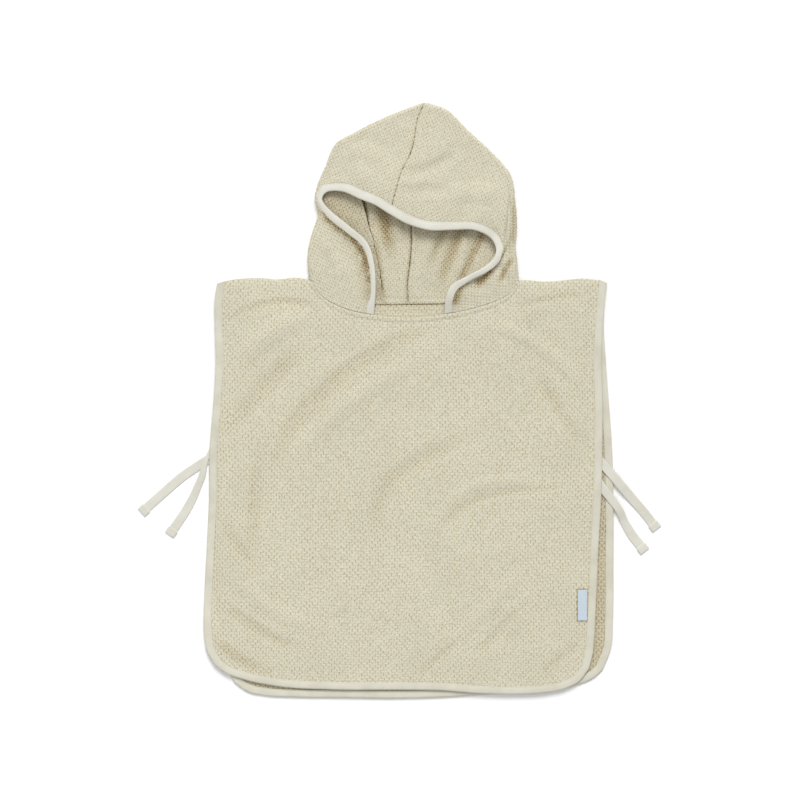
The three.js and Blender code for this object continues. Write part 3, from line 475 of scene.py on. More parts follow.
def rim_of(rows, columns, start=0):
    """The points round a grid in order."""
    index = start + np.arange(rows * columns).reshape(rows, columns)
    return np.concatenate([index[0, :-1], index[:-1, -1], index[-1, :0:-1], index[:0:-1, 0]])


def shell(name, upper, lower, uv_upper, uv_lower, slots, flip=False, hollow=(0.0, 0.0)):
    """A closed wall between a fine grid above and a grid below that has only each step-th row and column.

    The last argument holds the tints above and below: painted shade, and the dark of sewn seams.
    """
    rows, columns = upper.shape[:2]
    low_rows, low_columns = lower.shape[:2]
    step = (rows - 1) // (low_rows - 1)
    count = rows * columns
    points = np.concatenate([upper.reshape(-1, 3), lower.reshape(-1, 3)])
    uv = np.concatenate([uv_upper.reshape(-1, 2), uv_lower.reshape(-1, 2)])
    fine, coarse = rim_of(rows, columns), rim_of(low_rows, low_columns, count)
    strips = []
    for k, here in enumerate(coarse):
        after = coarse[(k + 1) % len(coarse)]
        run = [fine[(k * step + m) % len(fine)] for m in range(step + 1)]
        strips.append([run[-1], after, here])
        strips += [[run[m], run[m + 1], here] for m in range(step)]
    strips = np.array(strips)
    faces = [quads(rows, columns, 0, flip), quads(low_rows, low_columns, count, not flip)]
    faces.append(strips[:, ::-1] if not flip else strips)
    sizes = (count, low_rows * low_columns)
    deep = np.concatenate([np.zeros(size) + np.ravel(tint) for size, tint in zip(sizes, hollow)])
    return new_mesh(name, points, faces, uv, slots, hollow=deep)


def ring_faces(count, size):
    """Faces between rings of points, and the first and last ring."""
    index = np.arange(count * size).reshape(count, size)
    after = np.roll(index, -1, axis=1)
    sides = [index[:-1].ravel(), after[:-1].ravel(), after[1:].ravel(), index[1:].ravel()]
    return np.stack(sides, -1), index[:1, ::-1], index[-1:]


def loft(rings):
    """Points and faces of a closed bar through rings of points."""
    return rings.reshape(-1, 3), list(ring_faces(*rings.shape[:2]))


def turned_out(points, faces):
    """The same faces, turned so that they face out."""
    volume = 0.0
    for group in faces:
        a = points[group[:, 0]]
        for k in range(1, group.shape[1] - 1):
            volume += np.einsum("ij,ij->", a, np.cross(points[group[:, k]], points[group[:, k + 1]]))
    return [group[:, ::-1] for group in faces] if volume < 0 else faces


# Materials

class Nodes:
    """Short calls for building a material's nodes."""

    def __init__(self, name):
        self.material = bpy.data.materials.new(name)
        self.material.use_nodes = True
        self.tree = self.material.node_tree
        self.shader = self.tree.nodes["Principled BSDF"]

    def add(self, kind, **settings):
        node = self.tree.nodes.new("ShaderNode" + kind)
        for key, value in settings.items():
            setattr(node, key, value)
        return node

    def feed(self, socket, value):
        """Links an output to a socket, or sets the socket to a value."""
        if hasattr(value, "is_output"):
            self.tree.links.new(value, socket)
        else:
            socket.default_value = value

    def surface(self, **values):
        """Feeds the shader's sockets, with _ for a space in their names."""
        for name, value in values.items():
            self.feed(self.shader.inputs[name.replace("_", " ")], value)

    def math(self, operation, a, b, clamp=False):
        node = self.add("Math", operation=operation, use_clamp=clamp)
        self.feed(node.inputs[0], a)
        self.feed(node.inputs[1], b)
        return node.outputs[0]

    def plus(self, a, b):
        return self.math("ADD", a, b)

    def minus(self, a, b, clamp=False):
        return self.math("SUBTRACT", a, b, clamp)

    def times(self, a, b, clamp=False):
        return self.math("MULTIPLY", a, b, clamp)

    def wave(self, value, repeat, operation="COSINE"):
        return self.math(operation, self.times(value, 2 * math.pi / repeat), 0.0)

    def vector(self, operation, a, b):
        node = self.add("VectorMath", operation=operation)
        self.feed(node.inputs[0], a)
        self.feed(node.inputs["Scale" if operation == "SCALE" else 1], b)
        return node.outputs[0]

    def parts(self, vector):
        node = self.add("SeparateXYZ")
        self.feed(node.inputs[0], vector)
        return node.outputs

    def place(self):
        return self.add("TexCoord").outputs["Object"]

    def layer(self, name):
        return self.add("UVMap", uv_map=name).outputs["UV"]

    def mix(self, share, a, b, blend="MIX"):
        node = self.add("Mix", data_type="RGBA", blend_type=blend)
        self.feed(node.inputs["Factor"], share)
        self.feed(node.inputs[6], a)
        self.feed(node.inputs[7], b)
        return node.outputs[2]

    def shaded(self, colour, value):
        """A colour times a number."""
        grey = self.add("CombineColor")
        for socket in grey.inputs[:3]:
            self.feed(socket, value)
        return self.mix(1.0, colour, grey.outputs[0], "MULTIPLY")

    def span(self, value, low, high, to_low=0.0, to_high=1.0):
        node = self.add("MapRange", interpolation_type="SMOOTHSTEP")
        for socket, item in zip(node.inputs, (value, low, high, to_low, to_high)):
            self.feed(socket, item)
        return node.outputs[0]

    def noise(self, vector, scale, detail=2.0, roughness=0.5, output="Fac"):
        node = self.add("TexNoise")
        settings = {"Vector": vector, "Scale": scale, "Detail": detail, "Roughness": roughness}
        for name, value in settings.items():
            self.feed(node.inputs[name], value)
        return node.outputs[output]

    def bump(self, height, strength, distance, normal=None):
        node = self.add("Bump")
        settings = {"Strength": strength, "Distance": distance, "Height": height}
        if normal is not None:
            settings["Normal"] = normal
        for name, value in settings.items():
            self.feed(node.inputs[name], value)
        return node.outputs[0]


def colour(red, green, blue):
    """Scene colour from the red, green and blue of a screen, 0 to 255."""
    def linear(value):
        value /= 255
        return value / 12.92 if value <= 0.04045 else ((value + 0.055) / 1.055) ** 2.4
    return (linear(red), linear(green), linear(blue), 1.0)


# Pile colours: the gaps' tan is partly the yarn between the tufts and partly painted shade; the gap and
# tint in shade are painted shade, and the crease colour is painted shade in creases and the dark of sewn
# seams
TERRY_TUFT = colour(213, 209.5, 190.5)
TERRY_GAP_WITH_SHADE = colour(180, 166, 128)
PAINTED_SHADE_GAP = colour(98, 82, 50)
PAINTED_SHADE_TINT = colour(226, 210, 178)
CREASE_SHADE_AND_SEAM = colour(70, 57, 36)
TERRY_SHEEN = colour(250, 248, 240)


def terry_material():
    """Looped pile in offset rows of tufts.

    The second UV layer darkens its colour: up to 1 with painted shade as in a hollow, and from there up
    to 2 with the painted shade of a crease or the dark of a sewn seam.
    """
    n = Nodes("terry_loops")
    place = n.place()
    shift = n.vector("SUBTRACT", n.noise(place, 120, 2, output="Color"), (0.5, 0.5, 0.5))
    u, v, _ = n.parts(n.vector("ADD", n.layer("grain"), n.vector("SCALE", shift, 0.42)))
    wave_u, wave_v = n.wave(u, 1), n.wave(v, 1)
    between = n.minus(0.5, n.times(n.times(wave_u, wave_v), 0.5))
    square = n.times(wave_u, wave_u)
    dash = n.times(n.times(between, between), n.times(square, square))
    crosswise = n.minus(1.0, n.times(wave_v, wave_v))
    line = n.times(crosswise, crosswise)
    loops = n.noise(place, 620, 3, 0.6)
    fibres = n.noise(place, 3200, 2, 0.6)
    uneven = n.noise(place, 16, 3, 0.55)
    patchy = n.noise(place, 300)
    depth = n.parts(n.layer("hollow"))[0]
    # Painted shade up to 1 tints the cloth and darkens its gaps; above 1 comes the painted shade of
    # creases, and the dark of sewn seams
    hollow = n.times(depth, 1.0, clamp=True)
    crease = n.minus(depth, 1.0, clamp=True)
    gap = n.plus(n.times(dash, n.span(patchy, 0.35, 0.65, 0.4, 1.3)), n.times(line, 0.3))
    gap = n.plus(gap, n.times(n.minus(0.5, loops), 1.75))
    mask = n.span(n.plus(gap, n.times(hollow, 0.2)), -0.15, 1.05, 1.0, 0.0)
    pile = n.mix(mask, n.mix(hollow, TERRY_GAP_WITH_SHADE, PAINTED_SHADE_GAP), TERRY_TUFT)
    shade = n.shaded(pile, n.span(uneven, 0.3, 0.7, 0.975, 1.02))
    grit = n.plus(n.times(fibres, 0.4), n.times(loops, 0.6))
    shade = n.shaded(shade, n.span(grit, 0.36, 0.64, 0.93, 1.05))
    shade = n.mix(hollow, shade, n.mix(1.0, shade, PAINTED_SHADE_TINT, "MULTIPLY"))
    height = n.plus(n.times(mask, 0.62), n.times(loops, 0.5))
    n.surface(
        Base_Color=n.mix(crease, shade, CREASE_SHADE_AND_SEAM),
        Normal=n.bump(fibres, 0.25, 0.0003, n.bump(height, 0.4, 0.0007)),
        Roughness=0.95, Specular_IOR_Level=0.15,
        Sheen_Weight=0.25, Sheen_Roughness=0.6, Sheen_Tint=TERRY_SHEEN)
    return n.material


def jersey_material(name, base, shadow):
    """Smooth matt jersey: fine knit columns that run along the tape."""
    n = Nodes(name)
    place = n.place()
    across, along, _ = n.parts(n.layer("grain"))
    knit = n.times(n.plus(n.wave(across, 0.9), 1.2), n.plus(n.wave(along, 0.7), 2.0))
    fine = n.noise(place, 1500, 3, 0.6)
    soft = n.noise(place, 45, 3, 0.5)
    share = n.span(n.plus(n.times(fine, 0.5), n.times(soft, 0.5)), 0.35, 0.62)
    height = n.plus(n.times(knit, 0.12), n.times(fine, 0.5))
    n.surface(
        Base_Color=n.mix(share, shadow, base),
        Normal=n.bump(soft, 0.3, 0.0012, n.bump(height, 0.35, 0.0002)),
        Roughness=0.82, Specular_IOR_Level=0.25, Sheen_Weight=0.15, Sheen_Roughness=0.5)
    return n.material


def thread_material():
    n = Nodes("sewing_thread")
    twist = n.noise(n.place(), 2600, 1)
    n.surface(
        Base_Color=n.mix(n.span(twist, 0.3, 0.7), colour(196, 190, 168), colour(224, 220, 205)),
        Normal=n.bump(twist, 0.3, 0.0002), Roughness=0.6)
    return n.material


def label_material():
    """Satin weave with fine ribs across the label."""
    n = Nodes("label_satin")
    ribs = n.wave(n.parts(n.layer("grain"))[1], 0.55, "SINE")
    fine = n.noise(n.place(), 1800)
    share = n.span(n.plus(n.times(ribs, 0.15), fine), 0.25, 0.8)
    height = n.plus(n.times(ribs, 0.5), fine)
    n.surface(
        Base_Color=n.mix(share, colour(181, 194, 206), colour(209, 220, 229)),
        Normal=n.bump(height, 0.3, 0.00015), Roughness=0.5, Specular_IOR_Level=0.4, Sheen_Weight=0.1)
    return n.material


terry = terry_material()
jersey = jersey_material("binding_jersey", colour(214, 211, 196), colour(202, 198, 181))
face_jersey = jersey_material("face_binding_jersey", colour(224, 222, 211), colour(213, 210, 197))
tape = jersey_material("tie_jersey", colour(218, 216, 205), colour(207, 205, 191))
thread = thread_material()
satin = label_material()


# Panels

PANEL_TOP = 157.0
GRAIN_SWAY = 2.2
GRAIN_SWAY_LENGTH = 260
BY_NECK = 70


def grain_sway(place):
    """How far the rows of tufts stray from straight lines."""
    x, y = place[..., 0], place[..., 1]
    return np.stack([GRAIN_SWAY * waves(seed, x, y, GRAIN_SWAY_LENGTH) for seed in (11, 12)], -1)


def panel_grid(panel, columns, rows, spacing):
    """Places of a fine grid over a panel: on the lattice of the tufts inside, along the edges outside."""
    s, t = np.meshgrid(np.linspace(0, 1, columns + 1), np.linspace(0, 1, rows + 1), indexing="xy")
    outline = panel.patch(s, t, CLOTH_EDGE)
    first_x = (panel.line[:, 0].min() + panel.line[:, 0].max()) / 2 - columns * spacing[0] / 2
    straight = np.stack([
        first_x + np.arange(columns + 1)[None, :] * spacing[0] + 0 * t,
        PANEL_TOP - np.arange(rows + 1)[:, None] * spacing[1] + 0 * s,
    ], -1)
    x, y = outline[..., 0], outline[..., 1]
    near_neck = smoothstep(x, NECK_LEFT - BY_NECK, NECK_LEFT)
    near_neck = near_neck * (1 - smoothstep(x, NECK_RIGHT, NECK_RIGHT + BY_NECK))
    free = smoothstep(panel.distance(x, y), 3, 48)
    free = free * smoothstep(panel.top(x) - y, 0, lerp(30, 110, near_neck))
    place = lerp(outline, straight + grain_sway(straight), free[..., None])
    grain = lerp(place - grain_sway(place), straight, (free > 0.999)[..., None])
    return place, np.stack([(grain[..., 0] - first_x) / TUFT_X, (PANEL_TOP - grain[..., 1]) / TUFT_Y], -1)


# Painted shade in the front's troughs, full at the given trough depth, and a painted shadow round the
# label
TROUGH_SHADE, FULL_TROUGH = 0.13, 1.1
LABEL_SHADOW = 0.9


def front_painted_shade(x, y, distance, below, grown):
    """Painted shade in the front's troughs and over its lower left corner, and a painted shadow round the
    label.
    """
    sunk = fold_height([fold for fold in FRONT_FOLDS if fold[-1] < 0], x, y)
    deep = TROUGH_SHADE * np.minimum(1, -sunk / FULL_TROUGH)
    deep = deep * smoothstep(distance, 10, 24) * smoothstep(below, 6, 20)
    deep = np.maximum(deep, fold_height(FRONT_SHADE_PATCHES, x, y) * smoothstep(distance, 9, 13))
    beside_x = np.maximum(0, np.abs(x - LABEL["x"]) - LABEL["width"] / 2)
    beside_y = np.maximum(0, np.abs(y - LABEL["y"]) - LABEL["height"] / 2)
    return np.maximum(deep, LABEL_SHADOW * np.exp(-(np.hypot(beside_x, beside_y) / 1.5) ** 2) * grown)


def back_tint(x, y, below):
    """Deeper all over, in the front's shade, but less so within the neck."""
    at_neck = (1 - neck_free(x)) * smoothstep(y, 88, 104)
    return BACK_SHADE * (1 - 0.85 * at_neck) + 1.2 * BACK_SHADE * np.exp(-(below / 1.5) ** 2)


def build_panel(name, panel, base_of, lift_of, per_repeat, low_step, shoulder):
    """A panel with per_repeat points to a tuft. shoulder bends its shoulders down, or up below 0."""
    width = panel.line[:, 0].max() - panel.line[:, 0].min() - 2 * CLOTH_EDGE
    height = PANEL_TOP - panel.line[:, 1].min() - CLOTH_EDGE
    columns = low_step * round(width / TUFT_X * per_repeat / low_step)
    rows = low_step * round(height / TUFT_Y * per_repeat / low_step)
    place, grain = panel_grid(panel, columns, rows, (TUFT_X / per_repeat, TUFT_Y / per_repeat))
    x, y = place[..., 0], place[..., 1]
    distance = panel.distance(x, y)
    below = np.maximum(0, panel.top(x) - y)
    grown = smoothstep(distance, 8.9, 10.9)
    base = base_of(x, y)
    middle = base + BINDING_HEIGHT / 2
    bottom = base + lift_of(x, y, distance)
    seam = np.exp(-below / 3.0) * grown * neck_free(x)
    hem = hem_at_neck(x, below) * grown * (1 - neck_free(x))
    pile = tufts(grain[..., 0], grain[..., 1]) - TUFT_MEAN
    top = bottom + TERRY + TUFT_HEIGHT * pile * (1 - 0.5 * seam) - 0.4 * seam + hem
    drop = shoulder * grown * neck_free(x) * np.maximum(0, 1 - below / 12) ** 2
    upper = np.stack([x, y, lerp(middle + THIN / 2, top, grown) - np.maximum(drop, 0)], -1)
    low = np.stack([x, y, lerp(middle - THIN / 2, bottom, grown) - np.minimum(drop, 0) * 0.4], -1)
    # Painted shade: the front's troughs, corner and label shadow; the back all over, in the front's shade
    if panel is FRONT:
        tints = (np.clip(front_painted_shade(x, y, distance, below, grown), 0, 1), 0.0)
    else:
        tints = (np.clip(back_tint(x, y, below), 0, 1), BACK_SHADE)
    lows = (slice(None, None, low_step),) * 2
    return shell(name, upper, low[lows], grain, grain[lows], [terry], hollow=tints)


def hem_at_neck(x, below):
    """The neck's turned and topstitched hem: a soft rise along the edge and a groove where it is sewn."""
    rise = 0.7 * smoothstep(below, 0, 2.5) * (1 - smoothstep(below, 4.5, 8))
    groove = 0.6 * np.exp(-((below - 8.2) / 1.1) ** 2) * (0.7 + 0.3 * np.sin(2 * math.pi * x / 3.0))
    return rise - groove


def neck_free(x):
    """0 along the neck and 1 along the shoulders"""
    return smoothstep(np.maximum(NECK_LEFT - x, x - NECK_RIGHT), -2, 6)


# Section of a binding as [from its edge, up]: over the upper face, round the fold, back below, inside
BINDING_SECTION = np.array([
    [10, 1.42], [9.7, 1.62], [9.1, 1.6], [8.7, 1.48], [8.2, 1.62], [7.2, 1.82], [5.5, 1.92], [3.6, 1.95],
    [2.2, 1.9], [1.2, 1.7], [0.5, 1.3], [0.12, 0.7], [0, 0], [0.12, -0.7], [0.5, -1.3], [1.2, -1.7],
    [2.2, -1.92], [10, -1.95], [10, -0.95], [1.6, -0.95], [1.3, 0], [1.6, 0.95], [8, 0.9], [10, 0.72],
])
AT_FOLD = 12
AT_STITCHES = 2
STITCH_ACROSS = 8.7
STITCH_LENGTH = 2.1
STITCH_PITCH = 3.0
STITCH_WIDTH = 0.5
STITCH_FLATNESS = 0.8
STITCH_RINGS, STITCH_SEGMENTS = 5, 6


def stitches(centres, along, up):
    """Small round threads, one at each centre, along a direction."""
    angle = np.linspace(0, 2 * math.pi, STITCH_SEGMENTS, endpoint=False)
    lengths = np.sin(np.linspace(-math.pi / 2, math.pi / 2, STITCH_RINGS)) / 2
    widths = np.sqrt(np.maximum(0.02, 1 - (2 * lengths) ** 2)) / 2
    template = np.array([
        [length, width * math.cos(a), width * math.sin(a)]
        for length, width in zip(lengths, widths) for a in angle
    ])
    sides, first, last = ring_faces(STITCH_RINGS, STITCH_SEGMENTS)
    points, faces, ends = [], [], []
    for k, (centre, ahead, side, top) in enumerate(zip(centres, along, np.cross(up, along), up)):
        placed = centre + template[:, :1] * ahead * STITCH_LENGTH
        placed = placed + template[:, 1:2] * side * STITCH_WIDTH
        points.append(placed + template[:, 2:] * top * STITCH_WIDTH * STITCH_FLATNESS)
        faces.append(sides + k * len(template))
        ends += [first + k * len(template), last + k * len(template)]
    return np.concatenate(points), [np.concatenate(faces), np.concatenate(ends)]


def unit(vectors):
    return vectors / np.maximum(1e-9, np.linalg.norm(vectors, axis=-1, keepdims=True))


def length_along(points):
    """Length along a line of points, up to each of them."""
    return np.concatenate([[0], np.cumsum(np.linalg.norm(np.diff(points, axis=0), axis=1))])


def uneven_section(length):
    """Heights of the section at each station: puckered by the stitches, swelling between them."""
    across, level = BINDING_SECTION.T
    pucker = 0.07 * np.sin(2 * math.pi * length / STITCH_PITCH) + 0.05 * waves(21, length, 0 * length, 22)
    near_stitch = np.exp(-((across - STITCH_ACROSS) / 1.6) ** 2) * (level > 1)
    swell = 0.07 * waves(22, length, 0 * length, 40)
    lifted = level[None, :] - np.abs(pucker)[:, None] * near_stitch[None, :]
    lifted = lifted + swell[:, None] * ((level > 1.2) & (across < 8))[None, :]
    return np.minimum(lifted, BINDING_HEIGHT / 2)


def finish_strip(name, rings, across, length, sew, sew_up, cloth):
    """The mesh of a binding from its sections, with the stitches along the line sew."""
    points, faces = loft(rings)
    faces = turned_out(points, faces)
    uv = np.stack([across, length[:, None] + 0 * across], -1).reshape(-1, 2)
    wanted = np.arange(2.5, length[-1] - 2.5, STITCH_PITCH)
    line, top = (np.stack([np.interp(wanted, length, values[:, k]) for k in range(3)], -1)
                 for values in (sew, sew_up))
    ahead = unit(np.stack([np.gradient(line[:, k]) for k in range(3)], -1))
    top = unit(top)
    more_points, more_faces = stitches(line + top * 1.5, ahead, top)
    more_faces = [group + len(points) for group in more_faces]
    slots = [np.zeros(len(group)) for group in faces] + [np.ones(len(group)) for group in more_faces]
    piece = new_mesh(name, np.concatenate([points, more_points]), faces + more_faces,
                     np.concatenate([uv, np.zeros((len(more_points), 2))]), [cloth, thread],
                     face_slot=np.concatenate(slots))
    return piece, length[-1]


def even_line(at, first, last, spacing, samples=2000):
    """Parameters between first and last at even distances along a curve."""
    q = np.linspace(first, last, samples)
    length = length_along(at(q))
    count = int(round(length[-1] / spacing))
    return np.interp(np.linspace(0, length[-1], count + 1), length, q)


def build_panel_binding(name, panel, base_of):
    """The binding round a panel, cut along the shoulders at both its ends."""
    q = even_line(panel.edge_point, 0.0008, 2.9992, 2.4)
    outer, inward = panel.edge(q)
    inner = outer + inward * (BINDING_WIDTH + SEAM)
    low, high = base_of(outer[:, 0], outer[:, 1]), base_of(inner[:, 0], inner[:, 1])
    tilt = (high - low) / (BINDING_WIDTH + SEAM)
    start = np.column_stack([outer, low + BINDING_HEIGHT / 2])
    across = np.column_stack([inward, tilt])
    up = np.tile([0.0, 0.0, 1.0], (len(q), 1))
    length = length_along(start)
    lifted = uneven_section(length)
    wide = BINDING_SECTION[None, :, 0] + 0 * lifted
    rings = start[:, None] + across[:, None] * wide[..., None] + up[:, None] * lifted[..., None]
    to_end = np.minimum(length, length[-1] - length)[:, None]
    ends = 1 - smoothstep(to_end, 0, 16)
    level = np.where(length < length[-1] / 2, panel.top_y[0], panel.top_y[1])[:, None]
    rings[..., 1] += ends * (panel.top(rings[..., 0]) - level + 0.2)
    return finish_strip(name, rings, wide, length, start + across * STITCH_ACROSS, up, jersey)


# Hood

class HoodHalf:
    """One half of the hood. side is -1 on the left and 1 on the right."""

    def __init__(self, rows, side):
        self.side = side
        u = np.linspace(0, 1, len(rows["lift"]))
        self.column = {name: profile(u, rows[name]) for name in HOOD_COLUMNS}
        self.neck = self.row(np.array([0.0]))

    def row(self, u):
        """Places that belong to each row, with the lengths of its front layer and its bound part."""
        face, edge, outside, spine = (
            np.stack([self.column[name + "X"](u), self.column[name + "Y"](u)], -1)
            for name in ("face", "edge", "fold", "spine"))
        roll = lerp(ROLL_AT_NECK, ROLL, smoothstep(u, 0, 0.12))
        out = unit(outside - (face + spine) / 2)
        fold = outside - out * (roll + TERRY / 2)[:, None]
        stand = np.maximum(0, self.column["stand"](u))
        grip = np.linalg.norm(edge - face, axis=-1)
        reach = grip + np.linalg.norm(fold - edge, axis=-1)
        narrowest = BINDING_WIDTH - NARROWER_ON_EDGE * smoothstep(stand, 2, 5)
        bound = np.clip(np.hypot(grip, 0.6 * stand), narrowest, WIDEST_BINDING)
        return {
            "u": u, "face": face, "edge": edge, "fold": fold, "spine": spine, "roll": roll, "out": out,
            "stand": stand, "grip": grip, "reach": reach, "bound": bound,
            "lift": np.maximum(0, self.column["lift"](u)),
            "back": np.linalg.norm(spine - fold, axis=-1),
        }

    def front_height(self, place, distance, plan):
        """Height of the middle of the front layer: lift, standing binding, folds, and the flap's step."""
        u, reach, grip = (place[name][:, None] for name in ("u", "reach", "grip"))
        part = np.clip((distance - grip) / (reach - grip), 0, 1)
        bound = np.clip(distance / grip, 0, 1)
        rise = place["lift"][:, None] * (1 - smoothstep(part, 0, 1))
        stand = place["stand"][:, None]
        past = np.maximum(0, distance - grip)
        rise = rise + stand * (1 + 0.22 * (1 - bound)) * np.exp(-(past / 9) ** 1.5)
        edge = smoothstep(distance, 0.6 * grip, grip + 12) * smoothstep(reach - distance, -2, 12)
        edge = edge * smoothstep(u, 0, 0.1)
        x, y = plan[..., 0], plan[..., 1]
        folds = fold_height(HOOD_FRONT_FOLDS, x, y)
        folds = folds + 0.3 * waves(31, x, y, 60) + 0.18 * waves(32, x, y, 26)
        flap = 0
        if self.side > 0:
            near = smoothstep(y, 185, 205) * (1 - smoothstep(y, 235, 300)) * smoothstep(x, 90, 125)
            flap = FLAP_STEP * near * (1 - smoothstep(x - FLAP_LINE(y), -1.4, 2.4))
            flap = flap * smoothstep(u, 0.3, 0.45)
        return HOOD_BACK_MIDDLE + 2 * place["roll"][:, None] + rise + (folds + flap) * edge

    def bow(self, start, end, top, part, u):
        """The neck is curved; this moves a straight row onto it and fades within the first rows."""
        straight = lerp(start[0, 1], end[0, 1], part)
        return (top(lerp(start[0, 0], end[0, 0], part)) - straight) * (1 - smoothstep(u, 0, 0.2))

    def front(self, place, distance):
        """The middle of the front layer at distances from the face edge."""
        u, reach, grip = (place[name][:, None] for name in ("u", "reach", "grip"))
        inner = np.clip((distance - grip) / (reach - grip), 0, None)
        bound = np.clip(distance / grip, None, 1)
        plan = lerp(place["face"][:, None], place["edge"][:, None], bound[..., None])
        plan = np.where((distance > grip)[..., None],
                        lerp(place["edge"][:, None], place["fold"][:, None], inner[..., None]), plan)
        neck = self.neck
        free_bow = self.bow(neck["edge"], neck["fold"], FRONT.top, np.minimum(inner, 1), u)
        bound_bow = self.bow(neck["face"], neck["edge"], FRONT.top, np.maximum(bound, 0), u)
        plan[..., 1] += np.where(distance > grip, free_bow, bound_bow)
        sway = profile(TOP_SEAM["t"], TOP_SEAM["s"])(np.clip(inner, 0, 1)) * np.clip(bound, 0, 1)
        plan[..., 0] += sway * smoothstep(u, 0.55, 1)
        return np.concatenate([plan, self.front_height(place, distance, plan)[..., None]], -1)

    def turned(self, place, angle):
        """The middle of the side fold, from 0 at the front layer to pi at the back layer."""
        edge = self.front(place, place["reach"][:, None])
        roll = place["roll"][:, None]
        plan = edge[..., :2] + place["out"][:, None] * (roll * np.sin(angle))[..., None]
        top = edge[..., 2] - HOOD_BACK_MIDDLE - 2 * roll
        height = HOOD_BACK_MIDDLE + roll * (1 + np.cos(angle)) + top * (1 + np.cos(angle)) / 2
        return np.concatenate([plan, height[..., None]], -1)

    def back(self, place, part):
        """The middle of the back layer, from 0 at the side fold to 1 at the back seam."""
        plan = lerp(place["fold"][:, None], place["spine"][:, None], part[..., None])
        neck, u = self.neck, place["u"][:, None]
        plan[..., 1] += self.bow(neck["fold"], neck["spine"], BACK.top, part, u)
        x, y = plan[..., 0], plan[..., 1]
        free = smoothstep(part, 0, 0.2) * (1 - smoothstep(part, 0.85, 1)) * smoothstep(u, 0, 0.15)
        folds = fold_height(HOOD_BACK_FOLDS, x, y) * free + 0.25 * waves(41, x, y, 34) * free
        return np.concatenate([plan, (HOOD_BACK_MIDDLE + np.maximum(0, folds))[..., None]], -1)

    def inner_relief(self, x, y, to_spine):
        """Extra height and sideways shift of the inside: a narrow crease, and cloth risen by the seam."""
        crease = INNER_CREASES[self.side]
        away = self.past_crease(x, y) * self.side - SLOT_AT + 0.3 * waves(54, x, y, 9)
        away = away / (1 + 0.9 * smoothstep(y, 222, 245))
        fade = smoothstep(y, 128, 158) * (1 - smoothstep(y, *crease["fade"]))
        over = np.where(away > 0, np.exp(-np.maximum(away, 0) / crease["spread"]),
                        1 - smoothstep(-away, 0, crease["slope"]))
        fall = np.where(away > 0, np.exp(-np.maximum(away, 0) / 7), over)
        past = np.maximum(0, -away - CREASE_WIDTH - 1.0)
        bank = 0.6 * smoothstep(past, 0, 2.2) * np.exp(-past / 12)
        slot = np.exp(-((away + CREASE_WIDTH + 0.6) / 1.4) ** 2)
        risen = (1 - np.exp(-to_spine / 1.1)) * np.exp(-to_spine / 20) * smoothstep(y, 124, 136)
        risen = risen * (1 - smoothstep(y, 300, 330))
        height = crease["rise"] * fade * (over + bank) - crease["slot"] * fade * slot + SPINE_RISE * risen
        return height, -self.side * crease["hang"] * fade * fall

    def past_crease(self, x, y):
        """How far right of the crease inside a place is."""
        line = INNER_CREASES[self.side]["line"]
        return x - profile(line["y"], line["x"])(y)

    def back_parts(self, place):
        """Shares of the back layer for the mesh's columns, closer together at the crease and the seam."""
        part = np.linspace(0, 1, 401)[None, :]
        plan = self.back(place, part)
        away = np.abs(self.past_crease(plan[..., 0], plan[..., 1]))
        dense = 1 + 3.5 * np.exp(-(away / 5) ** 2) * smoothstep(plan[..., 1], 120, 140)
        dense = dense + 1.5 * np.exp(-(1 - part) * place["back"][:, None] / 6)
        total = np.cumsum(dense, 1)
        total = (total - total[:, :1]) / (total[:, -1:] - total[:, :1])
        wanted = np.linspace(0, 1, BACK_COLUMNS + 1)
        return np.stack([np.interp(wanted, row, part[0]) for row in total])

    def surface(self, place, distance):
        """The middle of the cloth at distances from the face edge, over all three."""
        roll, reach = place["roll"][:, None], place["reach"][:, None]
        turned = self.turned(place, np.clip((distance - reach) / roll, 0, math.pi))
        part = np.clip((distance - reach - math.pi * roll) / place["back"][:, None], 0, 1)
        front = self.front(place, np.minimum(distance, reach))
        behind = np.where((distance < reach + math.pi * roll)[..., None], turned, self.back(place, part))
        return np.where((distance < reach)[..., None], front, behind)


FLAP_LINE = profile(FLAP_EDGE["y"], FLAP_EDGE["x"])
HOODS = {"left": HoodHalf(HOOD_LEFT, -1), "right": HoodHalf(HOOD_RIGHT, 1)}
HOOD_ROWS = 204
FRONT_COLUMNS = 90
ROLL_COLUMNS = 10
BACK_COLUMNS = 110
PRESSED_AT_SEAM = 1.25
SEAM_ALLOWANCE = 0.8
COLLAR = 0.9

# The hood's tufts are smaller than the panels' and lie at angles, in degrees, by side and place
HOOD_GRAIN = 0.8
TOP_GRAIN = {-1: -23.0, 1: -18.0}
SIDE_GRAIN = {-1: 20.0, 1: 42.0}
INSIDE_GRAIN = -6.0
INSIDE_SIDE_GRAIN = 16.0


def turned_grain(plan, degrees):
    """Grain coordinates of places in plan, with the grain turned by an angle."""
    turn = np.radians(degrees)
    along = plan[..., 0] * np.cos(turn) + plan[..., 1] * np.sin(turn)
    across = plan[..., 1] * np.cos(turn) - plan[..., 0] * np.sin(turn)
    return np.stack([along / TUFT_X, across / TUFT_Y], -1) / HOOD_GRAIN


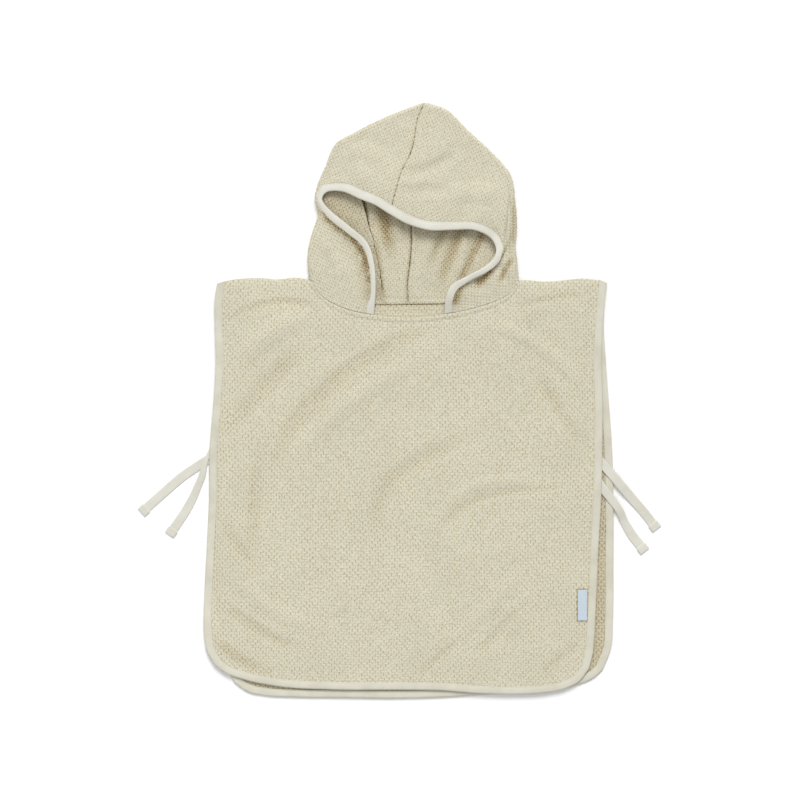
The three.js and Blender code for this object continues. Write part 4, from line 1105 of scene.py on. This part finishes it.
def hood_grain(half, place, u, middle, past):
    """Grain outside, unfolded over the side fold, and inside, as seen through the face opening."""
    x, y = middle[..., 0], middle[..., 1]
    unrolled = place["fold"][:, None] + place["out"][:, None] * past[..., None]
    unfolded = np.where((past > 0)[..., None], unrolled, middle[..., :2])
    low = u[:, None] < 0.5
    if half.side > 0:
        on_flap = (x > FLAP_LINE(y) + 0.5) & (y < 292) & (past < place["roll"][:, None])
        low = (u[:, None] < 0.44) | on_flap
    grain = np.where(low[..., None], turned_grain(unfolded, SIDE_GRAIN[half.side]),
                     turned_grain(unfolded, TOP_GRAIN[half.side]))
    beyond = half.past_crease(x, y) * half.side > 0
    at_side, at_back = (turned_grain(middle[..., :2], degrees)
                        for degrees in (INSIDE_SIDE_GRAIN * half.side, INSIDE_GRAIN))
    return grain, np.where(beyond[..., None], at_side, at_back)


# Painted shade: all over the inside, below the top flap, low between the folds, and left of the back seam
INSIDE_SHADE, ROOF_SHADE, LOW_SHADE, RIDGE_SHADE = 0.03, 0.29, 0.15, 0.45
# Painted shadow on the terry beside a standing binding
STANDING_SHADOW = 1.35
UNDERSIDE_SHADE = 0.5  # painted shade of the inner face of the front layer


def inside_shade_and_seams(half, x, y, level, inner_hollow_shade, to_spine, to_neck):
    """Painted shade below the top flap, in hollows and dark in the crease, and dark lines at the back
    seam and at the neck.
    """
    away = np.abs(half.past_crease(x, y))
    dotted = 0.6 + 0.45 * waves(52, x, y, 7)
    wedge = 1.2 + 3.0 * smoothstep(y, 224, 262)
    # Painted shade in the crease, dark and dotted on the left side
    crease = np.exp(-(away / wedge) ** 2) * smoothstep(y, 128, 170) * (1 - smoothstep(y, 268, 290))
    crease = crease * ((1.45 + 0.5 * dotted) if half.side < 0 else 0.4)
    roof = smoothstep(y, 185, 245) * ROOF_SHADE
    trough = LOW_SHADE * (1 - smoothstep(level, 3.2, 5.4)) * smoothstep(y, 170, 215)
    # The seam's allowance is pressed to the right, so the shade lies on the left of the ridge
    beside_ridge = RIDGE_SHADE * np.exp(-(to_spine / 3.2) ** 2) if half.side < 0 else 0.0
    stitched = (0.6 + 1.2 * dotted) * (1.0 if half.side < 0 else 0.3)
    deep = np.clip(INSIDE_SHADE + roof + trough + inner_hollow_shade + beside_ridge, 0, 0.95)
    deep = np.maximum(deep, crease)
    deep = np.maximum(deep, stitched * np.exp(-(to_spine / 0.9) ** 2) * smoothstep(y, 130, 170))
    deep = np.maximum(deep, (0.5 + 1.2 * dotted) * np.exp(-(to_neck / 0.9) ** 2))
    return np.clip(deep, 0, 2)


def outside_shade_and_seam(half, x, y, stand, past_binding, outer_hollow_shade, to_top):
    """Painted shadow beside the standing binding and painted shade in hollows, with dark stitches in the
    seam over the top.
    """
    beside = STANDING_SHADOW * np.exp(-(np.maximum(0, past_binding) / 9) ** 1.5)
    beside = beside * smoothstep(stand, 2, 5) * (0.85 + 0.2 * waves(53, x, y, 12))
    if half.side < 0:
        beside = beside * lerp(0.35, 1, smoothstep(y, 138, 180))
    beside = np.clip(np.maximum(beside, outer_hollow_shade), 0, 1.12)
    top_seam = (0.3 + 1.1 * np.clip(waves(55, x, y, 5), 0, 1)) * np.exp(-(to_top / 0.9) ** 2)
    return np.maximum(beside, top_seam)


def build_hood(name, half):
    # Rows, closer together at both ends, and columns over the front layer, the side fold and the back
    even = np.linspace(0, 1, 2001)
    density = np.cumsum(1 + 2.5 * np.exp(-(1 - even) / 0.012) + np.exp(-even / 0.012))
    share = (density - density[0]) / (density[-1] - density[0])
    u = np.interp(np.linspace(0, 1, HOOD_ROWS + 1), share, even)
    place = half.row(u)
    first = (CLOTH_EDGE * place["grip"] / BINDING_WIDTH)[:, None]
    reach, roll, back = (place[key][:, None] for key in ("reach", "roll", "back"))
    turned = math.pi * roll
    distance = np.concatenate([
        lerp(first, reach, np.linspace(0, 1, FRONT_COLUMNS + 1)[None, :]),
        reach + turned * np.linspace(0, 1, ROLL_COLUMNS + 1)[None, 1:-1],
        reach + turned + back * half.back_parts(place),
    ], 1)
    middle = half.surface(place, distance)
    normal = unit(np.cross(np.gradient(middle, axis=0), np.gradient(middle, axis=1)))
    normal = normal * (-1 if half.side > 0 else 1)
    normal[0, :, 1] = 0
    normal = unit(normal)
    x, y = middle[..., 0], middle[..., 1]
    past = np.maximum(0, distance - reach)
    grain, inner_grain = hood_grain(half, place, u, middle, past)

    # Thickness of the cloth, with its pile, and thin at the binding and the seams
    width = place["bound"][:, None]
    grown = smoothstep(distance, width * 0.88, width + 0.9)
    to_spine = reach + turned + back - distance
    legs = np.linalg.norm(np.diff(middle, axis=0), axis=-1)
    to_neck = np.concatenate([np.zeros((1, middle.shape[1])), np.cumsum(legs, 0)])
    to_top = to_neck[-1:] - to_neck
    seam = np.exp(-np.minimum(to_spine, to_top) / 1.5) * (0.85 + 0.3 * waves(51, x, y, 8))
    half_thick = lerp(THIN / 2, TERRY / 2 - PRESSED_AT_SEAM * seam, grown)
    on_front = np.arange(middle.shape[1])[None, :] <= FRONT_COLUMNS + ROLL_COLUMNS // 2
    pile, inner_pile = ((tufts(lattice[..., 0], lattice[..., 1]) - TUFT_MEAN) * TUFT_HEIGHT * grown
                        for lattice in (grain, inner_grain))
    pile = pile * (1 - 0.5 * seam) * (1 + 1.1 * np.exp(-((distance - reach - turned / 2) / 3.0) ** 2))
    allowance = 0.0
    if half.side > 0:
        allowance = SEAM_ALLOWANCE * smoothstep(to_spine, 0.2, 1.2) * (1 - smoothstep(to_spine, 4.2, 5.4))
        allowance = allowance * ~on_front
    collar = COLLAR * smoothstep(to_neck, 0.4, 1.4) * (1 - smoothstep(to_neck, 5.0, 6.4)) * ~on_front
    inner_thick = half_thick + np.maximum(allowance, collar) * smoothstep(to_top, 3, 12)
    outer = middle + normal * (half_thick + np.where(on_front, pile, 0))[..., None]
    inner = middle - normal * (inner_thick + np.where(on_front, 0.4 * inner_pile, inner_pile))[..., None]

    # Creases and hollows, in the shape and as painted shade
    risen, moved = half.inner_relief(x, y, to_spine)
    on_back = smoothstep(distance - reach - turned, 0, 12)
    inner_hollow_shade = fold_height(INNER_SHADED_HOLLOWS, x, y) * on_back
    outer_hollow_shade = fold_height(OUTER_SHADED_HOLLOWS, x, y) * on_front if half.side > 0 else 0 * x
    inner[..., 0] += moved * on_back
    inner[..., 2] += risen * on_back - 0.5 * inner_hollow_shade
    outer[..., 2] -= 0.9 * outer_hollow_shade * grown
    outer[..., 2] = np.maximum(outer[..., 2], 0)
    # Painted shade and dark seam lines, on the outer and the inner face
    inside = inside_shade_and_seams(half, x, y, inner[..., 2], inner_hollow_shade, to_spine, to_neck)
    past_binding = distance - width - 1.5
    outside = outside_shade_and_seam(half, x, y, place["stand"][:, None], past_binding, outer_hollow_shade, to_top)
    tints = (grown * np.where(on_front, outside, 0), np.where(on_front, UNDERSIDE_SHADE, inside) * grown)
    return shell(name, outer, inner, grain, inner_grain, [terry], flip=half.side > 0, hollow=tints)


def build_hood_binding(name):
    """The binding round the face opening, from the neck up the left and down the right half."""
    section = BINDING_SECTION
    near = 0.4
    runs = []
    for half in HOODS.values():
        u = even_line(lambda q: half.surface(half.row(q), 0 * q[:, None])[:, 0], 0, 1, 2.2, 800)
        place = half.row(u)
        width = place["bound"][:, None]
        at = section[None, :, 0] * width / BINDING_WIDTH
        after, before = (half.surface(half.row(np.clip(u + step, 0, 1)), at) for step in (0.004, -0.004))
        along = half.surface(place, at + near) - half.surface(place, np.maximum(0, at - near))
        up = unit(np.cross(after - before, along)) * (-1 if half.side > 0 else 1)
        up[u == 0] = (0, 0, 1)
        sew_at = STITCH_ACROSS * width / BINDING_WIDTH
        run = (half.surface(place, at), up, half.surface(place, sew_at)[:, 0], up[:, AT_STITCHES])
        runs.append(run if half.side < 0 else tuple(part[::-1][1:] for part in run))
    here, up, sew, sew_up = (np.concatenate(parts) for parts in zip(*runs))
    length = length_along(here[:, AT_FOLD])
    lifted = uneven_section(length)
    bar = here + up * lifted[..., None]
    return finish_strip(name, bar, section[None, :, 0] + 0 * lifted, length, sew, sew_up, face_jersey)


# Ties and label

TIE_SECTION = np.array([
    [-1, 0.5], [-0.97, 0.18], [-0.9, 0], [0, 0], [0.9, 0], [0.97, 0.18], [1, 0.5], [0.97, 0.82],
    [0.88, 0.97], [0.6, 1], [0.2, 0.98], [-0.2, 0.98], [-0.6, 1], [-0.88, 0.97], [-0.97, 0.82],
])
TIE_ROOT = 0.15  # how far the tie's end lies from the panel's edge


def build_tie(name, side, rows):
    """A tape along its middle line, from the panel's edge to the turned tab at its free end."""
    rows = np.array(rows, float)
    knots = length_along(rows[:, :2])
    x, y, z, width = (profile(knots, rows[:, k]) for k in range(4))
    tab_at = knots[-1] - TIE_TAB
    stops = np.concatenate([np.linspace(0, tab_at - 0.5, 64),
                            tab_at + np.array([0, 0.25, 0.6, 1.5, 4, 7, 8, 8.4, 8.5])])
    tab = smoothstep(stops, tab_at - 0.3, tab_at + 0.25)
    near = 0.5
    ahead = [line(stops + near) - line(stops - near) for line in (x, y)]
    ahead = unit(np.stack([*ahead, 0 * stops], -1))
    square = np.stack([-ahead[:, 1], ahead[:, 0], 0 * stops], -1)
    wide = lerp(width(np.minimum(stops, tab_at)), TIE_TAB_WIDTH, tab)
    thick = lerp(TIE_THICKNESS, TIE_TAB_THICKNESS - 0.2, tab)
    across, level = TIE_SECTION.T
    sides = across[None] * wide[:, None] / 2
    centre = np.stack([x(stops), y(stops), np.maximum(0, z(stops))], -1)
    rings = centre[:, None] + square[:, None] * sides[..., None]
    rings[..., 2] += level[None] * thick[:, None]
    edge = FRONT.left if side < 0 else FRONT.right
    root = rings[0]
    root += ((edge(root[:, 1]) + side * TIE_ROOT - root[:, 0]) / ahead[0, 0])[:, None] * ahead[0]
    root[:, 0] = edge(root[:, 1]) + side * TIE_ROOT
    rings[-1] = lerp(rings[-1].mean(0), rings[-1], 0.93)
    points, faces = loft(rings)
    uv = np.stack([sides, stops[:, None] + 0 * sides], -1)
    return new_mesh(name, points, turned_out(points, faces), uv.reshape(-1, 2), [tape]), knots[-1]


def build_label(name):
    """The label, sewn down on the left and a little risen at its free edge."""
    columns, rows = 24, 60
    width, height = LABEL["width"], LABEL["height"]
    dx, dy = np.meshgrid(np.linspace(-0.5, 0.5, columns + 1) * width,
                         np.linspace(0.5, -0.5, rows + 1) * height)
    x, y = LABEL["x"] + dx, LABEL["y"] + dy
    cloth = front_base(x, y) + front_lift(x, y, FRONT.distance(x, y)) + TERRY
    rise = 0.55 + 0.5 * smoothstep(-dx, -1, width / 2) + 0.12 * np.sin(dy / 40 * math.pi * 2.3 + 0.6)
    edge = np.minimum(width / 2 - np.abs(dx), height / 2 - np.abs(dy))
    rounded = np.sqrt(np.clip(1 - (1 - np.clip(edge / 0.5, 0, 1)) ** 2, 0, 1))
    upper, lower = (np.stack([x, y, cloth + rise + 0.2 + thick * rounded], -1) for thick in (0.35, -0.3))
    uv = np.stack([dx, dy], -1)
    return shell(name, upper, lower, uv, uv, [satin])


# The pieces, each riding on the one body

front = build_panel("front_cloth", FRONT, front_base, front_lift, 4, 4, 1.8)
back = build_panel("back_cloth", BACK, back_base, lambda x, y, distance: 0 * x, 2, 2, -1.8)
front_strip, front_length = build_panel_binding("front_edge_binding", FRONT, front_base)
back_strip, back_length = build_panel_binding("back_edge_binding", BACK, back_base)
left_half = build_hood("hood_left_cloth", HOODS["left"])
right_half = build_hood("hood_right_cloth", HOODS["right"])
face_strip, face_length = build_hood_binding("face_binding")
ties = {name: build_tie(name + "_tape", side, rows) for name, (side, rows) in TIES.items()}
tag = build_label("side_label")

# Floor, light and camera, in metres

HALF_FLOOR = 25.0
FLOOR_LEVEL = -0.0002
floor_mesh = bpy.data.meshes.new("table_top")
corners = [(x * HALF_FLOOR, y * HALF_FLOOR, FLOOR_LEVEL) for x, y in ((-1, -1), (1, -1), (1, 1), (-1, 1))]
floor_mesh.from_pydata(corners, [], [(0, 1, 2, 3)])
floor = bpy.data.objects.new("table_top", floor_mesh)
bpy.context.scene.collection.objects.link(floor)
floor_look = Nodes("pale_floor")
floor_look.surface(Base_Color=(0.97, 0.97, 0.97, 1), Roughness=0.9, Specular_IOR_Level=0.1)
floor_mesh.materials.append(floor_look.material)


def add_light(name, kind, direction, power):
    """A lamp that shines in a direction."""
    light = bpy.data.lights.new(name, kind)
    light.energy = power
    item = bpy.data.objects.new(name, light)
    item.rotation_mode = "QUATERNION"
    item.rotation_quaternion = Vector(direction).to_track_quat("-Z", "Y")
    bpy.context.scene.collection.objects.link(item)
    return item


key = add_light("key", "SUN", (-0.12, -1.0, -1.05), 2.2)
key.data.angle = 0.5
fill = add_light("fill", "AREA", (1.2, 0.4, -2.6), 14)
fill.location = (-1.2, -0.4, 2.6)
fill.data.shape = "SQUARE"
fill.data.size = 2.4
world = bpy.data.worlds.new("studio")
bpy.context.scene.world = world
world.use_nodes = True
world.node_tree.nodes["Background"].inputs["Color"].default_value = (1, 1, 1, 1)
world.node_tree.nodes["Background"].inputs["Strength"].default_value = 0.46

CAMERA_HEIGHT = 4.2
FRAME_WIDTH = 1.04
FRAME_CENTRE = (0.00065, 0.00065)
SENSOR = 36  # millimetres
camera = bpy.data.objects.new("camera", bpy.data.cameras.new("camera"))
bpy.context.scene.collection.objects.link(camera)
camera.location = (*FRAME_CENTRE, CAMERA_HEIGHT)
camera.data.sensor_width = SENSOR
camera.data.lens = SENSOR * CAMERA_HEIGHT / FRAME_WIDTH
camera.data.clip_end = 50
bpy.context.scene.camera = camera
bpy.context.scene.view_settings.view_transform = "Standard"

# What each piece stands for: each rides on the one body, and the part it stands for is hidden

STANDS_FOR = [
    (front, "front_panel", "terry"), (back, "back_panel", "terry"),
    (left_half, "hood_left", "terry"), (right_half, "hood_right", "terry"),
    (front_strip, "front_binding", "binding"), (back_strip, "back_binding", "binding"),
    (face_strip, "hood_binding", "binding"), (tag, "label", "label"),
]
STANDS_FOR += [(piece, name, "tie_tape") for name, (piece, _) in ties.items()]
for piece, node, slot in STANDS_FOR:
    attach(piece, "root")
    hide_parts(node)

bpy.context.view_layer.update()
